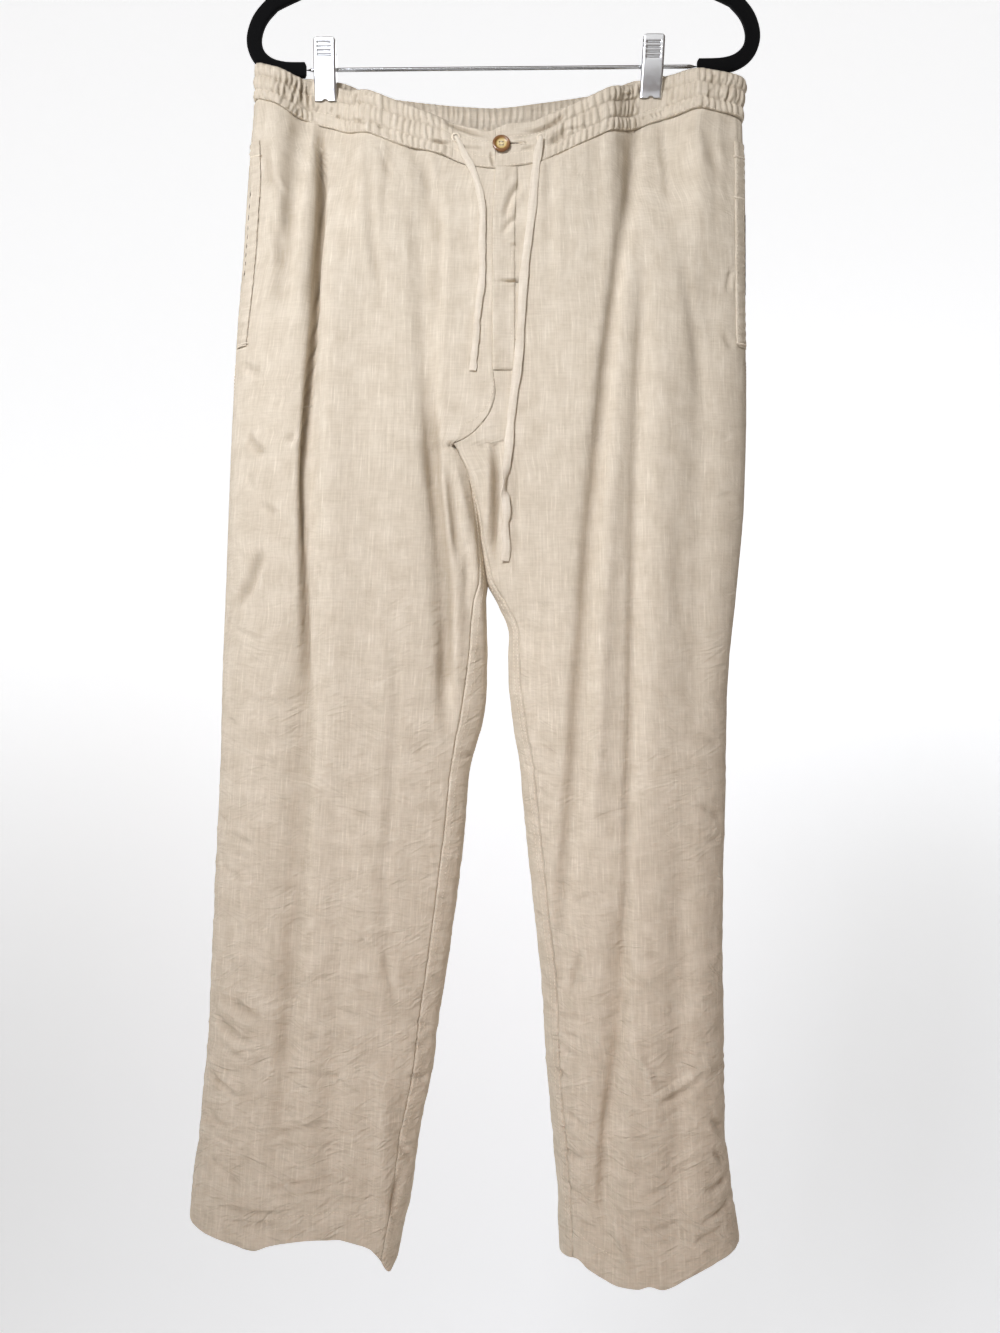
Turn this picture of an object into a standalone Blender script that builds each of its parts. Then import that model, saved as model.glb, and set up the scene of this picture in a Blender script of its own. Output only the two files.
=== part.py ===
"""Linen drawstring trousers held by a clip hanger, as separate sewn pieces.

The origin is the inside of the hook's crown, +Z is up and the front of the trousers faces -Y.
"right" and "left" in the names are the wearer's: the right leg lies at -X.
Heights are given as a level, in millimetres below the axis of the hanger's bar.
"""

import math
from collections import namedtuple

import bmesh
import bpy
import numpy as np

MM = 0.001

# ---------------------------------------------------------------- driving dimensions, in millimetres
BAR_DROP = 230.0        # from the hook's inner crown down to the bar's axis
CLOTH = 1.6             # wall of a leg panel, drawn thicker than the linen so that it is a solid
BAND_CLOTH = 1.8        # wall of the waistband: two layers with elastic between
SEAM_GAP = 0.3          # clearance between pieces that are sewn together
LEG_GAP = 0.6           # each leg's inner edge keeps this far from where they would touch
PINCHED = 2.2           # depth of one layer of the waistband where a clip grips it
HEM_TURN = 22.0         # height of the turned-up hem
HEM_CLOTH = 1.0
GATHER_PITCH = 7.6      # one gather of the elasticated waistband
GATHER_DEPTH = 1.1
GATHER_TROUGH = 0.35    # how far a gather's troughs sink, against its crest
STITCHED_SHARE = 0.7    # the stitch lines hold the gathers down to this share of their depth
CENTRE_LEAN = 3.5       # the top of the flat centre front leans back by this much
TAB_RIGHT_X = -42.0     # the flat centre front of the waistband runs between these two places
TAB_LEFT_X = 35.0
TAB_COLUMNS = 5
CLIP_RIGHT_X = -153.6
CLIP_LEFT_X = 128.2
CLIP_LEFT_LEAN = -2.4   # the left clip's jaw lies this far aside of its handle
CLIP_WIDTH = 17.5
CLIP_PLATE = 1.1
CLIP_NESTING = 1.6      # the back leaf is narrower than the front one by this much at each side
GRIP_NEAR = 11.0        # a clip flattens the cloth fully to this distance at each side
GRIP_FAR = 42.0         # and not at all from here
GRIP_TOP = 30.0         # the level at which the flattened cloth starts to open out below a clip
GRIP_BOTTOM = 190.0     # and the level at which it is fully open
CROTCH_LEVEL = 323.5
WAIST_LEVEL = 60.0
HEM_LEVEL = 1005.0
FORK_HEIGHT = 62.0      # the centre seams curve under the body over this height
PLACKET_TOP = 99.6      # levels of the fly placket's ends
PLACKET_BOTTOM = 272.0
PLACKET_WIDTH = 18.5
PLACKET_CLOTH = 1.2
POCKET_TOP = 69.0       # levels of the pocket edges' ends
POCKET_BOTTOM = 246.0
POCKET_WIDTH = 9.5
POCKET_CLOTH = 1.0
DRAWSTRING_WIDTH = 7.0
DRAWSTRING_CLOTH = 2.0
BUTTON_RADIUS = 7.6
BUTTON_DISH = 5.3       # radius of the hollow in its face
BUTTON_HEIGHT = 2.9
BUTTON_X = -1.4
BUTTON_LEVEL = 80.1
EYELET_RADIUS = 3.6
EYELET_RIM = 0.7
BAR_RADIUS = 1.7
BAR_RIGHT_END = -171.0
BAR_LEFT_END = 168.0
WIRE_RADIUS = 1.9
HOOK_RADIUS = 22.0      # inside radius of the hook
NECK_LEVEL = -143.0     # where the hook's stem stands on the frame
FRAME_HEIGHT = 13.0
FRAME_THICKNESS = 6.0

# ---------------------------------------------------------------- outline tables
Edge = namedtuple("Edge", "level x")
Depth = namedtuple("Depth", "level front back fullness")
Setback = namedtuple("Setback", "level inset")
Height = namedtuple("Height", "x level")
Fold = namedtuple("Fold", "x_top x_bottom top bottom depth width")
Leg = namedtuple("Leg", "side inner depth inseam pocket front_folds back_folds hem_front hem_back")
Clip = namedtuple("Clip", "level face flange")
Route = namedtuple("Route", "x y level")

RIGHT_SIDE = [
    Edge(-6, -214.0), Edge(35, -213.7), Edge(61, -216.3), Edge(113, -220.7), Edge(165, -224.1),
    Edge(217, -228.5), Edge(295, -233.7), Edge(373, -237.1), Edge(451, -239.7), Edge(529, -243.2),
    Edge(607, -245.2), Edge(685, -249.3), Edge(763, -252.7), Edge(841, -256.2), Edge(893, -260.5),
    Edge(945, -266.6), Edge(993, -271.8), Edge(1060, -273.0),
]
RIGHT_INNER = [
    Edge(-6, -6.5), Edge(100, -6.0), Edge(265, -4.2), Edge(285, -5.0), Edge(300, -9.0),
    Edge(312, -19.0), Edge(320, -33.0), Edge(323.5, -42.0), Edge(328, -40.0), Edge(355, -29.0),
    Edge(407, -22.1), Edge(442, -17.0), Edge(477, -12.0), Edge(529, -8.5), Edge(548, -10.5),
    Edge(581, -21.0), Edge(607, -29.5), Edge(659, -33.5), Edge(711, -39.4), Edge(763, -46.4),
    Edge(815, -54.2), Edge(867, -61.1), Edge(919, -72.0), Edge(971, -79.0), Edge(1010, -86.0),
    Edge(1060, -88.0),
]
LEFT_SIDE = [
    Edge(-6, 208.0), Edge(12, 208.6), Edge(42, 206.0), Edge(113, 208.5), Edge(199, 208.4),
    Edge(295, 209.4), Edge(373, 207.8), Edge(451, 201.8), Edge(529, 194.8), Edge(607, 192.0),
    Edge(685, 189.4), Edge(763, 188.6), Edge(841, 190.0), Edge(919, 191.4), Edge(945, 194.6),
    Edge(971, 198.1), Edge(1012, 204.2), Edge(1060, 206.0),
]
LEFT_INNER = [
    Edge(-6, -6.5), Edge(100, -6.0), Edge(265, -4.2), Edge(285, -5.0), Edge(300, -9.0),
    Edge(312, -19.0), Edge(320, -33.0), Edge(323.5, -42.0), Edge(328, -40.0), Edge(355, -29.0),
    Edge(407, -22.1), Edge(442, -15.5), Edge(460, -10.0), Edge(477, 0.5), Edge(503, 4.8),
    Edge(555, 7.4), Edge(581, 10.8), Edge(633, 16.9), Edge(711, 24.7), Edge(789, 32.5),
    Edge(867, 36.8), Edge(919, 42.0), Edge(971, 46.4), Edge(1020, 48.1), Edge(1060, 49.0),
]
RIGHT_DEPTH = [
    Depth(-6, 17, 15, 0.62), Depth(35, 21, 19, 0.62), Depth(113, 30, 28, 0.66),
    Depth(217, 36, 34, 0.70), Depth(323, 38, 36, 0.75), Depth(460, 33, 31, 0.78),
    Depth(607, 27, 25, 0.78), Depth(763, 25, 23, 0.78), Depth(900, 26, 22, 0.78),
    Depth(1010, 28, 22, 0.80), Depth(1060, 28, 22, 0.80),
]
LEFT_DEPTH = [
    Depth(-6, 17, 15, 0.62), Depth(35, 21, 19, 0.62), Depth(113, 30, 28, 0.66),
    Depth(217, 36, 34, 0.70), Depth(323, 37, 36, 0.75), Depth(460, 36, 32, 0.80),
    Depth(607, 39, 34, 0.86), Depth(763, 40, 35, 0.90), Depth(900, 42, 36, 0.92),
    Depth(1010, 44, 38, 0.92), Depth(1060, 44, 38, 0.92),
]
# How far the inseam lies forward of the inner edge, and the pocket mouth forward of the side edge.
RIGHT_INSEAM = [
    Setback(324, 0.0), Setback(360, 2.5), Setback(400, 5.5), Setback(560, 26.0),
    Setback(700, 17.0), Setback(850, 16.0), Setback(1010, 14.0),
]
LEFT_INSEAM = [
    Setback(324, 0.0), Setback(400, 3.0), Setback(546, 10.0), Setback(780, 12.0), Setback(1020, 10.0),
]
RIGHT_POCKET = [Setback(70, 0.0), Setback(110, 5.0), Setback(190, 5.0), Setback(300, 0.0)]
LEFT_POCKET = [Setback(70, 0.0), Setback(120, 2.0), Setback(200, 2.0), Setback(300, 0.0)]

FRONT_TOP = [
    Height(-214, -3.0), Height(-194, 5.0), Height(-177, 10.0), Height(-156, 12.0), Height(-127, 21.0),
    Height(-94, 33.0), Height(-76, 42.0), Height(-57, 51.0), Height(-40, 58.0), Height(-22, 63.0),
    Height(-11, 64.5), Height(-4, 61.0), Height(4, 58.0), Height(24, 56.0), Height(36, 50.5),
    Height(50, 45.0), Height(72, 35.0), Height(101, 20.0), Height(129, 7.5), Height(152, 6.5),
    Height(181, 9.0), Height(208, 11.0),
]
FRONT_SEAM = [
    Height(-214, 30.0), Height(-200, 36.0), Height(-181, 45.0), Height(-162, 49.5), Height(-146, 53.5),
    Height(-129, 61.5), Height(-106, 70.5), Height(-83, 79.5), Height(-55, 86.0), Height(-27, 97.0),
    Height(-8, 99.0), Height(10, 97.0), Height(24, 95.0), Height(46, 86.6), Height(72, 74.0),
    Height(101, 60.0), Height(118, 49.0), Height(129, 40.0), Height(145, 37.7), Height(167, 39.7),
    Height(180, 44.0), Height(207, 41.6),
]
BACK_TOP = [
    Height(-214, -3.0), Height(-190, 4.0), Height(-146, 10.4), Height(-86, 18.5), Height(-40, 23.0),
    Height(-10, 24.5), Height(35, 20.0), Height(68, 15.5), Height(119, 9.0), Height(165, 8.0),
    Height(208, 11.0),
]
BACK_SEAM = [
    Height(-214, 30.0), Height(-190, 42.0), Height(-146, 49.0), Height(-86, 57.5), Height(-40, 62.0),
    Height(-10, 63.5), Height(35, 59.5), Height(68, 55.0), Height(119, 48.5), Height(165, 46.0),
    Height(207, 41.6),
]
RIGHT_HEM_FRONT = [
    Height(-272, 993.0), Height(-245, 1006.0), Height(-213, 1012.0), Height(-179, 1003.5),
    Height(-152, 1002.5), Height(-128, 1008.0), Height(-112, 1012.0), Height(-94, 1020.0),
    Height(-86, 1003.0),
]
RIGHT_HEM_BACK = [
    Height(-272, 993.0), Height(-235, 1003.0), Height(-180, 1009.0), Height(-120, 1006.0),
    Height(-86, 1003.0),
]
LEFT_HEM_FRONT = [
    Height(48, 1019.0), Height(67, 1019.5), Height(88, 1027.5), Height(106, 1030.5), Height(135, 1029.5),
    Height(153, 1021.5), Height(170, 1013.5), Height(204, 1011.8),
]
LEFT_HEM_BACK = [
    Height(48, 1019.0), Height(80, 1026.0), Height(125, 1031.0), Height(170, 1022.0), Height(204, 1011.8),
]

# Largest folds: soft troughs running down the cloth. A negative depth is a ridge.
RIGHT_FRONT_FOLDS = [
    Fold(-158, -172, 20, 470, 13.0, 10.0),      # under the clip, the deepest
    Fold(-171, -193, 380, 1000, 6.0, 12.0),
    Fold(-186, -190, 25, 170, -4.0, 11.0),      # the loop of cloth outside the clip
    Fold(-72, -60, 90, 400, 5.0, 9.0),
    Fold(-62, -46, 300, 600, 7.0, 7.0),
    Fold(-136, -148, 560, 1030, 4.5, 12.0),
    Fold(-98, -101, 850, 1040, -7.0, 10.0),     # the hem's inner corner swings forward
]
RIGHT_BACK_FOLDS = [
    Fold(-152, -160, 20, 430, 11.0, 11.0),
    Fold(-80, -96, 90, 480, 5.0, 15.0),
    Fold(-196, -206, 300, 780, 5.0, 12.0),
    Fold(-128, -150, 520, 1020, 6.0, 13.0),
    Fold(-212, -226, 760, 1030, 4.0, 10.0),
]
LEFT_FRONT_FOLDS = [
    Fold(117, 77, 30, 400, 9.0, 8.0),           # from under the clip, slanting inwards
    Fold(83, 47, 280, 800, 8.0, 8.0),
    Fold(119, 102, 130, 740, 8.0, 8.0),
    Fold(104, 79, 680, 1045, 8.0, 10.0),
    Fold(-3, -1, 328, 432, 8.0, 6.0),           # beside the crotch
    Fold(170, 160, 150, 620, 4.0, 14.0),
    Fold(150, 142, 640, 1040, 4.5, 12.0),
]
LEFT_BACK_FOLDS = [
    Fold(132, 124, 20, 430, 11.0, 11.0),
    Fold(60, 74, 90, 500, 5.0, 15.0),
    Fold(168, 158, 280, 760, 6.0, 12.0),
    Fold(92, 104, 460, 1020, 7.0, 12.0),
    Fold(150, 160, 720, 1040, 5.0, 10.0),
]

RIGHT = Leg(RIGHT_SIDE, RIGHT_INNER, RIGHT_DEPTH, RIGHT_INSEAM, RIGHT_POCKET,
            RIGHT_FRONT_FOLDS, RIGHT_BACK_FOLDS, RIGHT_HEM_FRONT, RIGHT_HEM_BACK)
LEFT = Leg(LEFT_SIDE, LEFT_INNER, LEFT_DEPTH, LEFT_INSEAM, LEFT_POCKET,
           LEFT_FRONT_FOLDS, LEFT_BACK_FOLDS, LEFT_HEM_FRONT, LEFT_HEM_BACK)

# Rows of a panel, as shares of the way from the waist seam to the hem. One lies on the crotch.
PANEL_LENGTH = 909.0
CROTCH_ROW = 0.2465
HEM_ROW = 1 - HEM_TURN / PANEL_LENGTH
PANEL_ROWS = [0.0, 0.035, 0.08, 0.13, 0.175, 0.205, 0.222, 0.236, CROTCH_ROW, 0.262, 0.30, 0.35,
              0.41, 0.48, 0.55, 0.62, 0.69, 0.76, 0.83, 0.90, HEM_ROW, 1.0]
PANEL_COLUMNS = 16
THIN_COLUMN = 0.012     # a narrow strip at each seam keeps the wall square to it
BAND_ROWS = [0.0, 0.30, 0.68, 1.0]      # seam, two stitch lines and top edge
CORNER_STEPS = (-0.015, 0.0, 0.015)     # turns over which the band's seam clears a panel's corners

# The drawstring's two tails, from the eyelet down.
TAIL_RIGHT = [
    Route(-40.1, -28.5, 71.7), Route(-36.5, -29.2, 79.0), Route(-33.0, -29.4, 87.0),
    Route(-26.6, -30.3, 99.5), Route(-22.5, -31.2, 111.0), Route(-18.8, -32.4, 126.0),
    Route(-17.4, -33.6, 142.0), Route(-18.0, -34.8, 161.0), Route(-17.6, -35.9, 180.0),
    Route(-18.4, -36.8, 199.0), Route(-20.6, -37.5, 216.0), Route(-22.2, -37.9, 232.0),
    Route(-23.2, -38.3, 247.0), Route(-24.8, -38.4, 262.0), Route(-25.6, -38.3, 272.0),
]
TAIL_LEFT = [
    Route(31.4, -28.5, 72.2), Route(30.2, -29.2, 80.0), Route(28.0, -29.8, 92.0),
    Route(26.0, -31.0, 108.0), Route(24.4, -32.5, 127.0), Route(22.4, -33.9, 146.0),
    Route(20.0, -35.5, 166.0), Route(17.4, -37.9, 187.0), Route(15.8, -38.7, 208.0),
    Route(14.8, -39.1, 228.0), Route(13.4, -39.3, 249.0), Route(11.6, -39.4, 268.0),
    Route(9.6, -39.5, 284.0), Route(7.0, -39.5, 303.0), Route(5.0, -39.4, 322.0),
    Route(3.4, -39.3, 341.0), Route(1.0, -39.1, 358.0), Route(-0.6, -39.0, 373.0),
    Route(2.0, -38.9, 387.0), Route(2.2, -38.8, 402.0), Route(2.6, -38.7, 416.0),
    Route(3.4, -38.6, 428.0), Route(1.8, -38.5, 441.0),
]

FRAME_HALF = [      # centre line of the hanger's frame, from the bar's end round and up to the neck
    Edge(0.0, BAR_LEFT_END), Edge(-0.6, 190.0), Edge(-5.0, 204.0), Edge(-14.0, 213.0), Edge(-27.0, 216.0),
    Edge(-42.0, 212.0), Edge(-54.0, 203.0), Edge(-61.0, 193.0), Edge(-80.0, 150.0),
    Edge(-101.0, 100.0), Edge(-122.0, 50.0), Edge(-134.0, 22.0), Edge(-141.0, 8.0),
]
CLIP_LEAF = [       # a clip's leaf from handle to jaw: depths of its face and of its flanges' rims
    Clip(-22.0, 10.8, 8.8), Clip(-12.0, 10.6, 7.4), Clip(-4.0, 10.0, 3.0), Clip(0.0, 9.6, 2.0),
    Clip(4.0, 9.1, 2.8), Clip(11.0, 7.9, 2.8), Clip(18.0, 6.2, 2.8), Clip(24.0, 4.6, 2.8),
    Clip(29.4, 3.8, 2.8),
]

COLOURS = {     # linear base colour, metallic, roughness
    "linen": ((0.63, 0.52, 0.42, 1.0), 0.0, 0.85),
    "cord": ((0.70, 0.60, 0.49, 1.0), 0.0, 0.85),
    "horn": ((0.36, 0.20, 0.08, 1.0), 0.0, 0.35),
    "flock": ((0.012, 0.012, 0.013, 1.0), 0.0, 0.95),
    "chrome": ((0.75, 0.76, 0.78, 1.0), 1.0, 0.18),
}


# ---------------------------------------------------------------- curves
def follow(table, at, column=1):
    """Read a table's column at a value of its first one, on a smooth curve with no overshoot."""
    knots = np.array([row[0] for row in table], dtype=float)
    values = np.array([row[column] for row in table], dtype=float)
    slopes = np.diff(values) / np.diff(knots)
    tangents = np.zeros_like(values)
    same_way = slopes[:-1] * slopes[1:] > 0
    harmonic = 2 * slopes[:-1] * slopes[1:] / np.where(same_way, slopes[:-1] + slopes[1:], 1.0)
    tangents[1:-1] = np.where(same_way, harmonic, 0.0)
    tangents[0] = slopes[0]
    tangents[-1] = slopes[-1]
    at = np.clip(np.asarray(at, dtype=float), knots[0], knots[-1])
    span = np.clip(np.searchsorted(knots, at, side="right") - 1, 0, len(slopes) - 1)
    width = knots[span + 1] - knots[span]
    t = (at - knots[span]) / width
    start = (1 + 2 * t) * (1 - t) ** 2 * values[span] + t * (1 - t) ** 2 * width * tangents[span]
    end = t * t * (3 - 2 * t) * values[span + 1] + t * t * (t - 1) * width * tangents[span + 1]
    return start + end


def fade(start, end, value):
    """0 before start, 1 after end, smooth between them."""
    t = np.clip((np.asarray(value, dtype=float) - start) / (end - start), 0.0, 1.0)
    return t * t * (3 - 2 * t)


def height(level):
    """The height of a level, in millimetres from the origin."""
    return -(BAR_DROP + np.asarray(level, dtype=float))


# ---------------------------------------------------------------- the form of the garment
def fold_depth(folds, x, level):
    """How far the folds draw the cloth in at a place."""
    total = np.zeros(np.broadcast(x, level).shape)
    for fold in folds:
        along = (level - fold.top) / (fold.bottom - fold.top)
        centre = fold.x_top + (fold.x_bottom - fold.x_top) * along
        ends = fade(0.0, 0.22, along) * (1 - fade(0.72, 1.0, along))
        total += fold.depth * ends * np.exp(-((x - centre) / fold.width) ** 2)
    return total


def clip_grip(x, level):
    """1 where a clip presses the two layers together, falling to 0 around it."""
    reach = np.minimum(np.abs(x - CLIP_RIGHT_X), np.abs(x - CLIP_LEFT_X))
    across = 1 - fade(GRIP_NEAR, GRIP_FAR, reach)
    return across * (1 - fade(GRIP_TOP, GRIP_BOTTOM, level))


def fork_share(level):
    """1 where the two fronts meet at a centre seam, falling to 0 at the crotch, where the legs part."""
    below = np.clip((level - (CROTCH_LEVEL - FORK_HEIGHT)) / FORK_HEIGHT, 0.0, 1.0)
    return np.sqrt(1 - below ** 2)


def spread(turn, level):
    """How far from the side edge (0) to the inner edge (1) a turn lies."""
    rounded = (1 - np.cos(turn)) / 2
    straight = 1 - np.abs(turn - math.pi) / math.pi
    fork = fork_share(level)
    return np.where(rounded > 0.5, fork * straight + (1 - fork) * rounded, rounded)


def edges(leg, level):
    """The side edge and the inner edge of a leg. The two legs keep a little apart below the fork."""
    apart = LEG_GAP * fade(CROTCH_LEVEL - 12, CROTCH_LEVEL + 12, level)
    return follow(leg.side, level), follow(leg.inner, level) + (-apart if leg is RIGHT else apart)


def section(leg, turn, level, on_back):
    """x and y of a leg's outer face. turn goes from the side seam (0) over the front to the inner edge
    (pi) and on over the back (2 pi)."""
    behind = (turn > math.pi + (-1e-6 if on_back else 1e-6)) & (turn < 2 * math.pi)
    side, inner = edges(leg, level)
    x = side + (inner - side) * spread(turn, level)
    arch = np.abs(np.sin(turn)) ** follow(leg.depth, level, 3)
    fork = fork_share(level)
    arch = np.where(np.cos(turn) < 0, fork + (1 - fork) * arch, arch)
    depth = np.where(behind, follow(leg.depth, level, 2), follow(leg.depth, level, 1)) * arch
    grip = clip_grip(x, level)
    depth = depth * (1 - grip) + PINCHED * grip * np.minimum(1.0, 3 * arch)
    folds = np.where(behind, fold_depth(leg.back_folds, x, level), fold_depth(leg.front_folds, x, level))
    depth = np.maximum(depth - folds * (1 - grip) * arch, PINCHED * np.minimum(1.0, 3 * arch))
    return x, np.where(behind, depth, -depth)


def leg_point(leg, turn, level, on_back, lift, lowest, highest):
    """A point of a leg's outer face moved out by lift, with the unit vector along the section."""
    step = 0.004
    x, y = section(leg, turn, level, on_back)
    before = section(leg, np.maximum(turn - step, lowest), level, on_back)
    after = section(leg, np.minimum(turn + step, highest), level, on_back)
    dx = after[0] - before[0]
    dy = after[1] - before[1]
    length = np.maximum(np.hypot(dx, dy), 1e-9)
    dx = dx / length
    dy = dy / length
    way = 1.0 if leg is RIGHT else -1.0
    return x + way * dy * lift, y - way * dx * lift, dx, dy


def between(leg, level, turn):
    """The x of a turn at a level, before any folds."""
    side, inner = edges(leg, np.full_like(turn, level))
    return side + (inner - side) * spread(turn, np.full_like(turn, level))


def turn_limits(leg, level, on_back):
    """Where a panel starts and ends round the leg, at a level."""
    side, inner = edges(leg, level)
    width = np.abs(inner - side)
    inseam = np.arccos(1 - 2 * follow(leg.inseam, level) / width)
    pocket = np.arccos(1 - 2 * follow(leg.pocket, level) / width)
    if on_back:
        return math.pi - inseam, 2 * math.pi + pocket
    return pocket, math.pi - inseam


def panel_levels(leg, across, down, on_back):
    """The level of a panel's point: across 0 to 1 over the panel, down 0 at the waist, 1 at the hem."""
    turn = math.pi * across + (math.pi if on_back else 0.0)
    waist_x = between(leg, WAIST_LEVEL, turn)
    hem_x = between(leg, HEM_LEVEL, turn)
    top = follow(BACK_SEAM if on_back else FRONT_SEAM, waist_x) + SEAM_GAP
    bottom = follow(leg.hem_back if on_back else leg.hem_front, hem_x)
    above = top + (CROTCH_LEVEL - top) * down / CROTCH_ROW
    below = CROTCH_LEVEL + (bottom - CROTCH_LEVEL) * (down - CROTCH_ROW) / (1 - CROTCH_ROW)
    return np.where(down < CROTCH_ROW, above, below)


def on_panel(leg, across, level, on_back, lift=0.0):
    """Points of a panel's outer face, moved out by lift, with the seam gap left at both its edges."""
    first, last = turn_limits(leg, level, on_back)
    turn = first + (last - first) * across
    x, y, dx, dy = leg_point(leg, turn, level, on_back, lift, first, last)
    gap = SEAM_GAP / 2 * ((across <= 0).astype(float) - (across >= 1).astype(float))
    return x + dx * gap, y + dy * gap, height(level)


def turn_at(leg, x, level):
    """The turn over the front at which a leg's section passes a place."""
    side, inner = edges(leg, level)
    wanted = np.clip((x - side) / (inner - side), 0.0, 1.0)
    low, high = np.zeros_like(wanted), np.full_like(wanted, math.pi)
    for _ in range(40):
        middle = (low + high) / 2
        short = spread(middle, level) < wanted
        low, high = np.where(short, middle, low), np.where(short, high, middle)
    return (low + high) / 2


def across_at(leg, x, level):
    """How far across the front panel a place lies."""
    first, last = turn_limits(leg, level, False)
    return np.clip((turn_at(leg, x, level) - first) / (last - first), 0.0, 1.0)


# ---------------------------------------------------------------- making objects
def material(name):
    """The material of that name, made once."""
    if name in bpy.data.materials:
        return bpy.data.materials[name]
    made = bpy.data.materials.new(name)
    made.use_nodes = True
    colour, metallic, roughness = COLOURS[name]
    shader = made.node_tree.nodes["Principled BSDF"]
    shader.inputs["Base Color"].default_value = colour
    shader.inputs["Metallic"].default_value = metallic
    shader.inputs["Roughness"].default_value = roughness
    made.diffuse_color = colour
    return made


def place_object(name, data, finish):
    """Link an object for a mesh or curve into the part's collection."""
    made = bpy.data.objects.new(name, data)
    data.materials.append(material(finish))
    collection.objects.link(made)
    return made


def finish_bmesh(name, bm, finish):
    """Turn a bmesh into a smooth-shaded object."""
    mesh = bpy.data.meshes.new(name)
    bm.to_mesh(mesh)
    bm.free()
    mesh.shade_smooth()
    mesh.set_sharp_from_angle(angle=math.radians(50))
    return place_object(name, mesh, finish)


def sheet(name, across, down, place, wall, finish):
    """A closed wall of cloth or plate, grown inwards from its outer face. place(across, down, lift)
    gives points in millimetres, lift being the distance out from the outer face."""
    columns = len(across) - 1
    rows = len(down) - 1
    bm = bmesh.new()
    bmesh.ops.create_grid(bm, x_segments=columns, y_segments=rows, size=0.5)
    column = bm.verts.layers.int.new("column")
    row = bm.verts.layers.int.new("row")
    for vert in bm.verts:
        vert[column] = round((vert.co.x + 0.5) * columns)
        vert[row] = round((vert.co.y + 0.5) * rows)
    grown = bmesh.ops.extrude_face_region(bm, geom=bm.faces[:])["geom"]
    inner = {item for item in grown if isinstance(item, bmesh.types.BMVert)}
    verts = bm.verts[:]
    lift = np.array([-wall if vert in inner else 0.0 for vert in verts])
    x, y, z = place(np.asarray(across, dtype=float)[[vert[column] for vert in verts]],
                    np.asarray(down, dtype=float)[[vert[row] for vert in verts]], lift)
    for vert, *corner in zip(verts, x, y, z):
        vert.co = [float(value) * MM for value in corner]
    bmesh.ops.recalc_face_normals(bm, faces=bm.faces[:])
    return finish_bmesh(name, bm, finish)


def seamed(count):
    """Shares across a piece, evenly spread, with a narrow strip at each end."""
    inside = np.linspace(0.0, 1.0, count + 1)[1:-1]
    return np.concatenate([[0.0, THIN_COLUMN], inside, [1.0 - THIN_COLUMN, 1.0]])


def turned(name, profile, steps, finish):
    """A round piece about Z: profile points (radius, height) from the top down the outer side."""
    mesh = bpy.data.meshes.new(name)
    bm = bmesh.new()
    verts = [bm.verts.new((radius * MM, 0.0, level * MM)) for radius, level in profile]
    for first, second in zip(verts, verts[1:]):
        bm.edges.new((first, second))
    bm.to_mesh(mesh)
    bm.free()
    made = place_object(name, mesh, finish)
    screw = made.modifiers.new("Turn", "SCREW")
    screw.steps = steps
    screw.render_steps = steps
    screw.use_merge_vertices = True
    screw.merge_threshold = 0.00001
    return made


def wire(name, points, radius, finish, sides):
    """A round wire through points in millimetres."""
    data = bpy.data.curves.new(name, "CURVE")
    data.dimensions = "3D"
    data.bevel_depth = radius * MM
    data.bevel_resolution = sides
    data.use_fill_caps = True
    spline = data.splines.new("POLY")
    spline.points.add(len(points) - 1)
    for point, corner in zip(spline.points, points):
        point.co = (corner[0] * MM, corner[1] * MM, corner[2] * MM, 1.0)
    return place_object(name, data, finish)


def smooth_route(points, count):
    """count points, evenly numbered, on a smooth curve through the given ones."""
    points = np.asarray(points, dtype=float)
    at = np.linspace(0.0, len(points) - 1.0, count)
    index = np.clip(at.astype(int), 0, len(points) - 2)
    t = (at - index)[:, None]
    before = points[np.clip(index - 1, 0, None)]
    start = points[index]
    end = points[index + 1]
    after = points[np.clip(index + 2, None, len(points) - 1)]
    return 0.5 * (2 * start + (end - before) * t + (2 * before - 5 * start + 4 * end - after) * t ** 2
                  + (3 * start - before - 3 * end + after) * t ** 3)


def strip(name, line, width, thickness, finish, bevel=0.0):
    """A flat bar or ribbon along a line in millimetres, its width in the XZ plane, thick in Y."""
    line = np.asarray(line, dtype=float)
    along = np.gradient(line[:, [0, 2]], axis=0)
    along /= np.linalg.norm(along, axis=1)[:, None]
    aside = np.stack([-along[:, 1], along[:, 0]], axis=1)
    count = len(line)

    def place(across, down, lift):
        index = np.rint(down * (count - 1)).astype(int)
        shift = (across - 0.5) * width
        return (line[index, 0] + aside[index, 0] * shift, line[index, 1] - thickness / 2 - lift,
                line[index, 2] + aside[index, 1] * shift)

    made = sheet(name, [0.0, 1.0], np.linspace(0.0, 1.0, count), place, thickness, finish)
    if bevel:
        edges = made.modifiers.new("Rounded", "BEVEL")
        edges.width = bevel * MM
        edges.segments = 1
        edges.limit_method = "ANGLE"
        edges.angle_limit = math.radians(60)
    return made


# ---------------------------------------------------------------- leg panels, hems and what lies on them
def leg_panel(name, leg, on_back):
    def place(across, down, lift):
        level = panel_levels(leg, across, down, on_back)
        return on_panel(leg, across, level, on_back, lift)

    return sheet(name, seamed(PANEL_COLUMNS), PANEL_ROWS, place, CLOTH, "linen")


def hem_turn_up(name, leg, on_back):
    """The cloth turned up inside a leg's end."""
    def place(across, down, lift):
        level = panel_levels(leg, across, HEM_ROW + (1 - HEM_ROW) * down, on_back)
        return on_panel(leg, across, level - 0.3 * down, on_back, lift - CLOTH - SEAM_GAP)

    return sheet(name, seamed(PANEL_COLUMNS), [0.0, 1.0], place, HEM_CLOTH, "linen")


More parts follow.
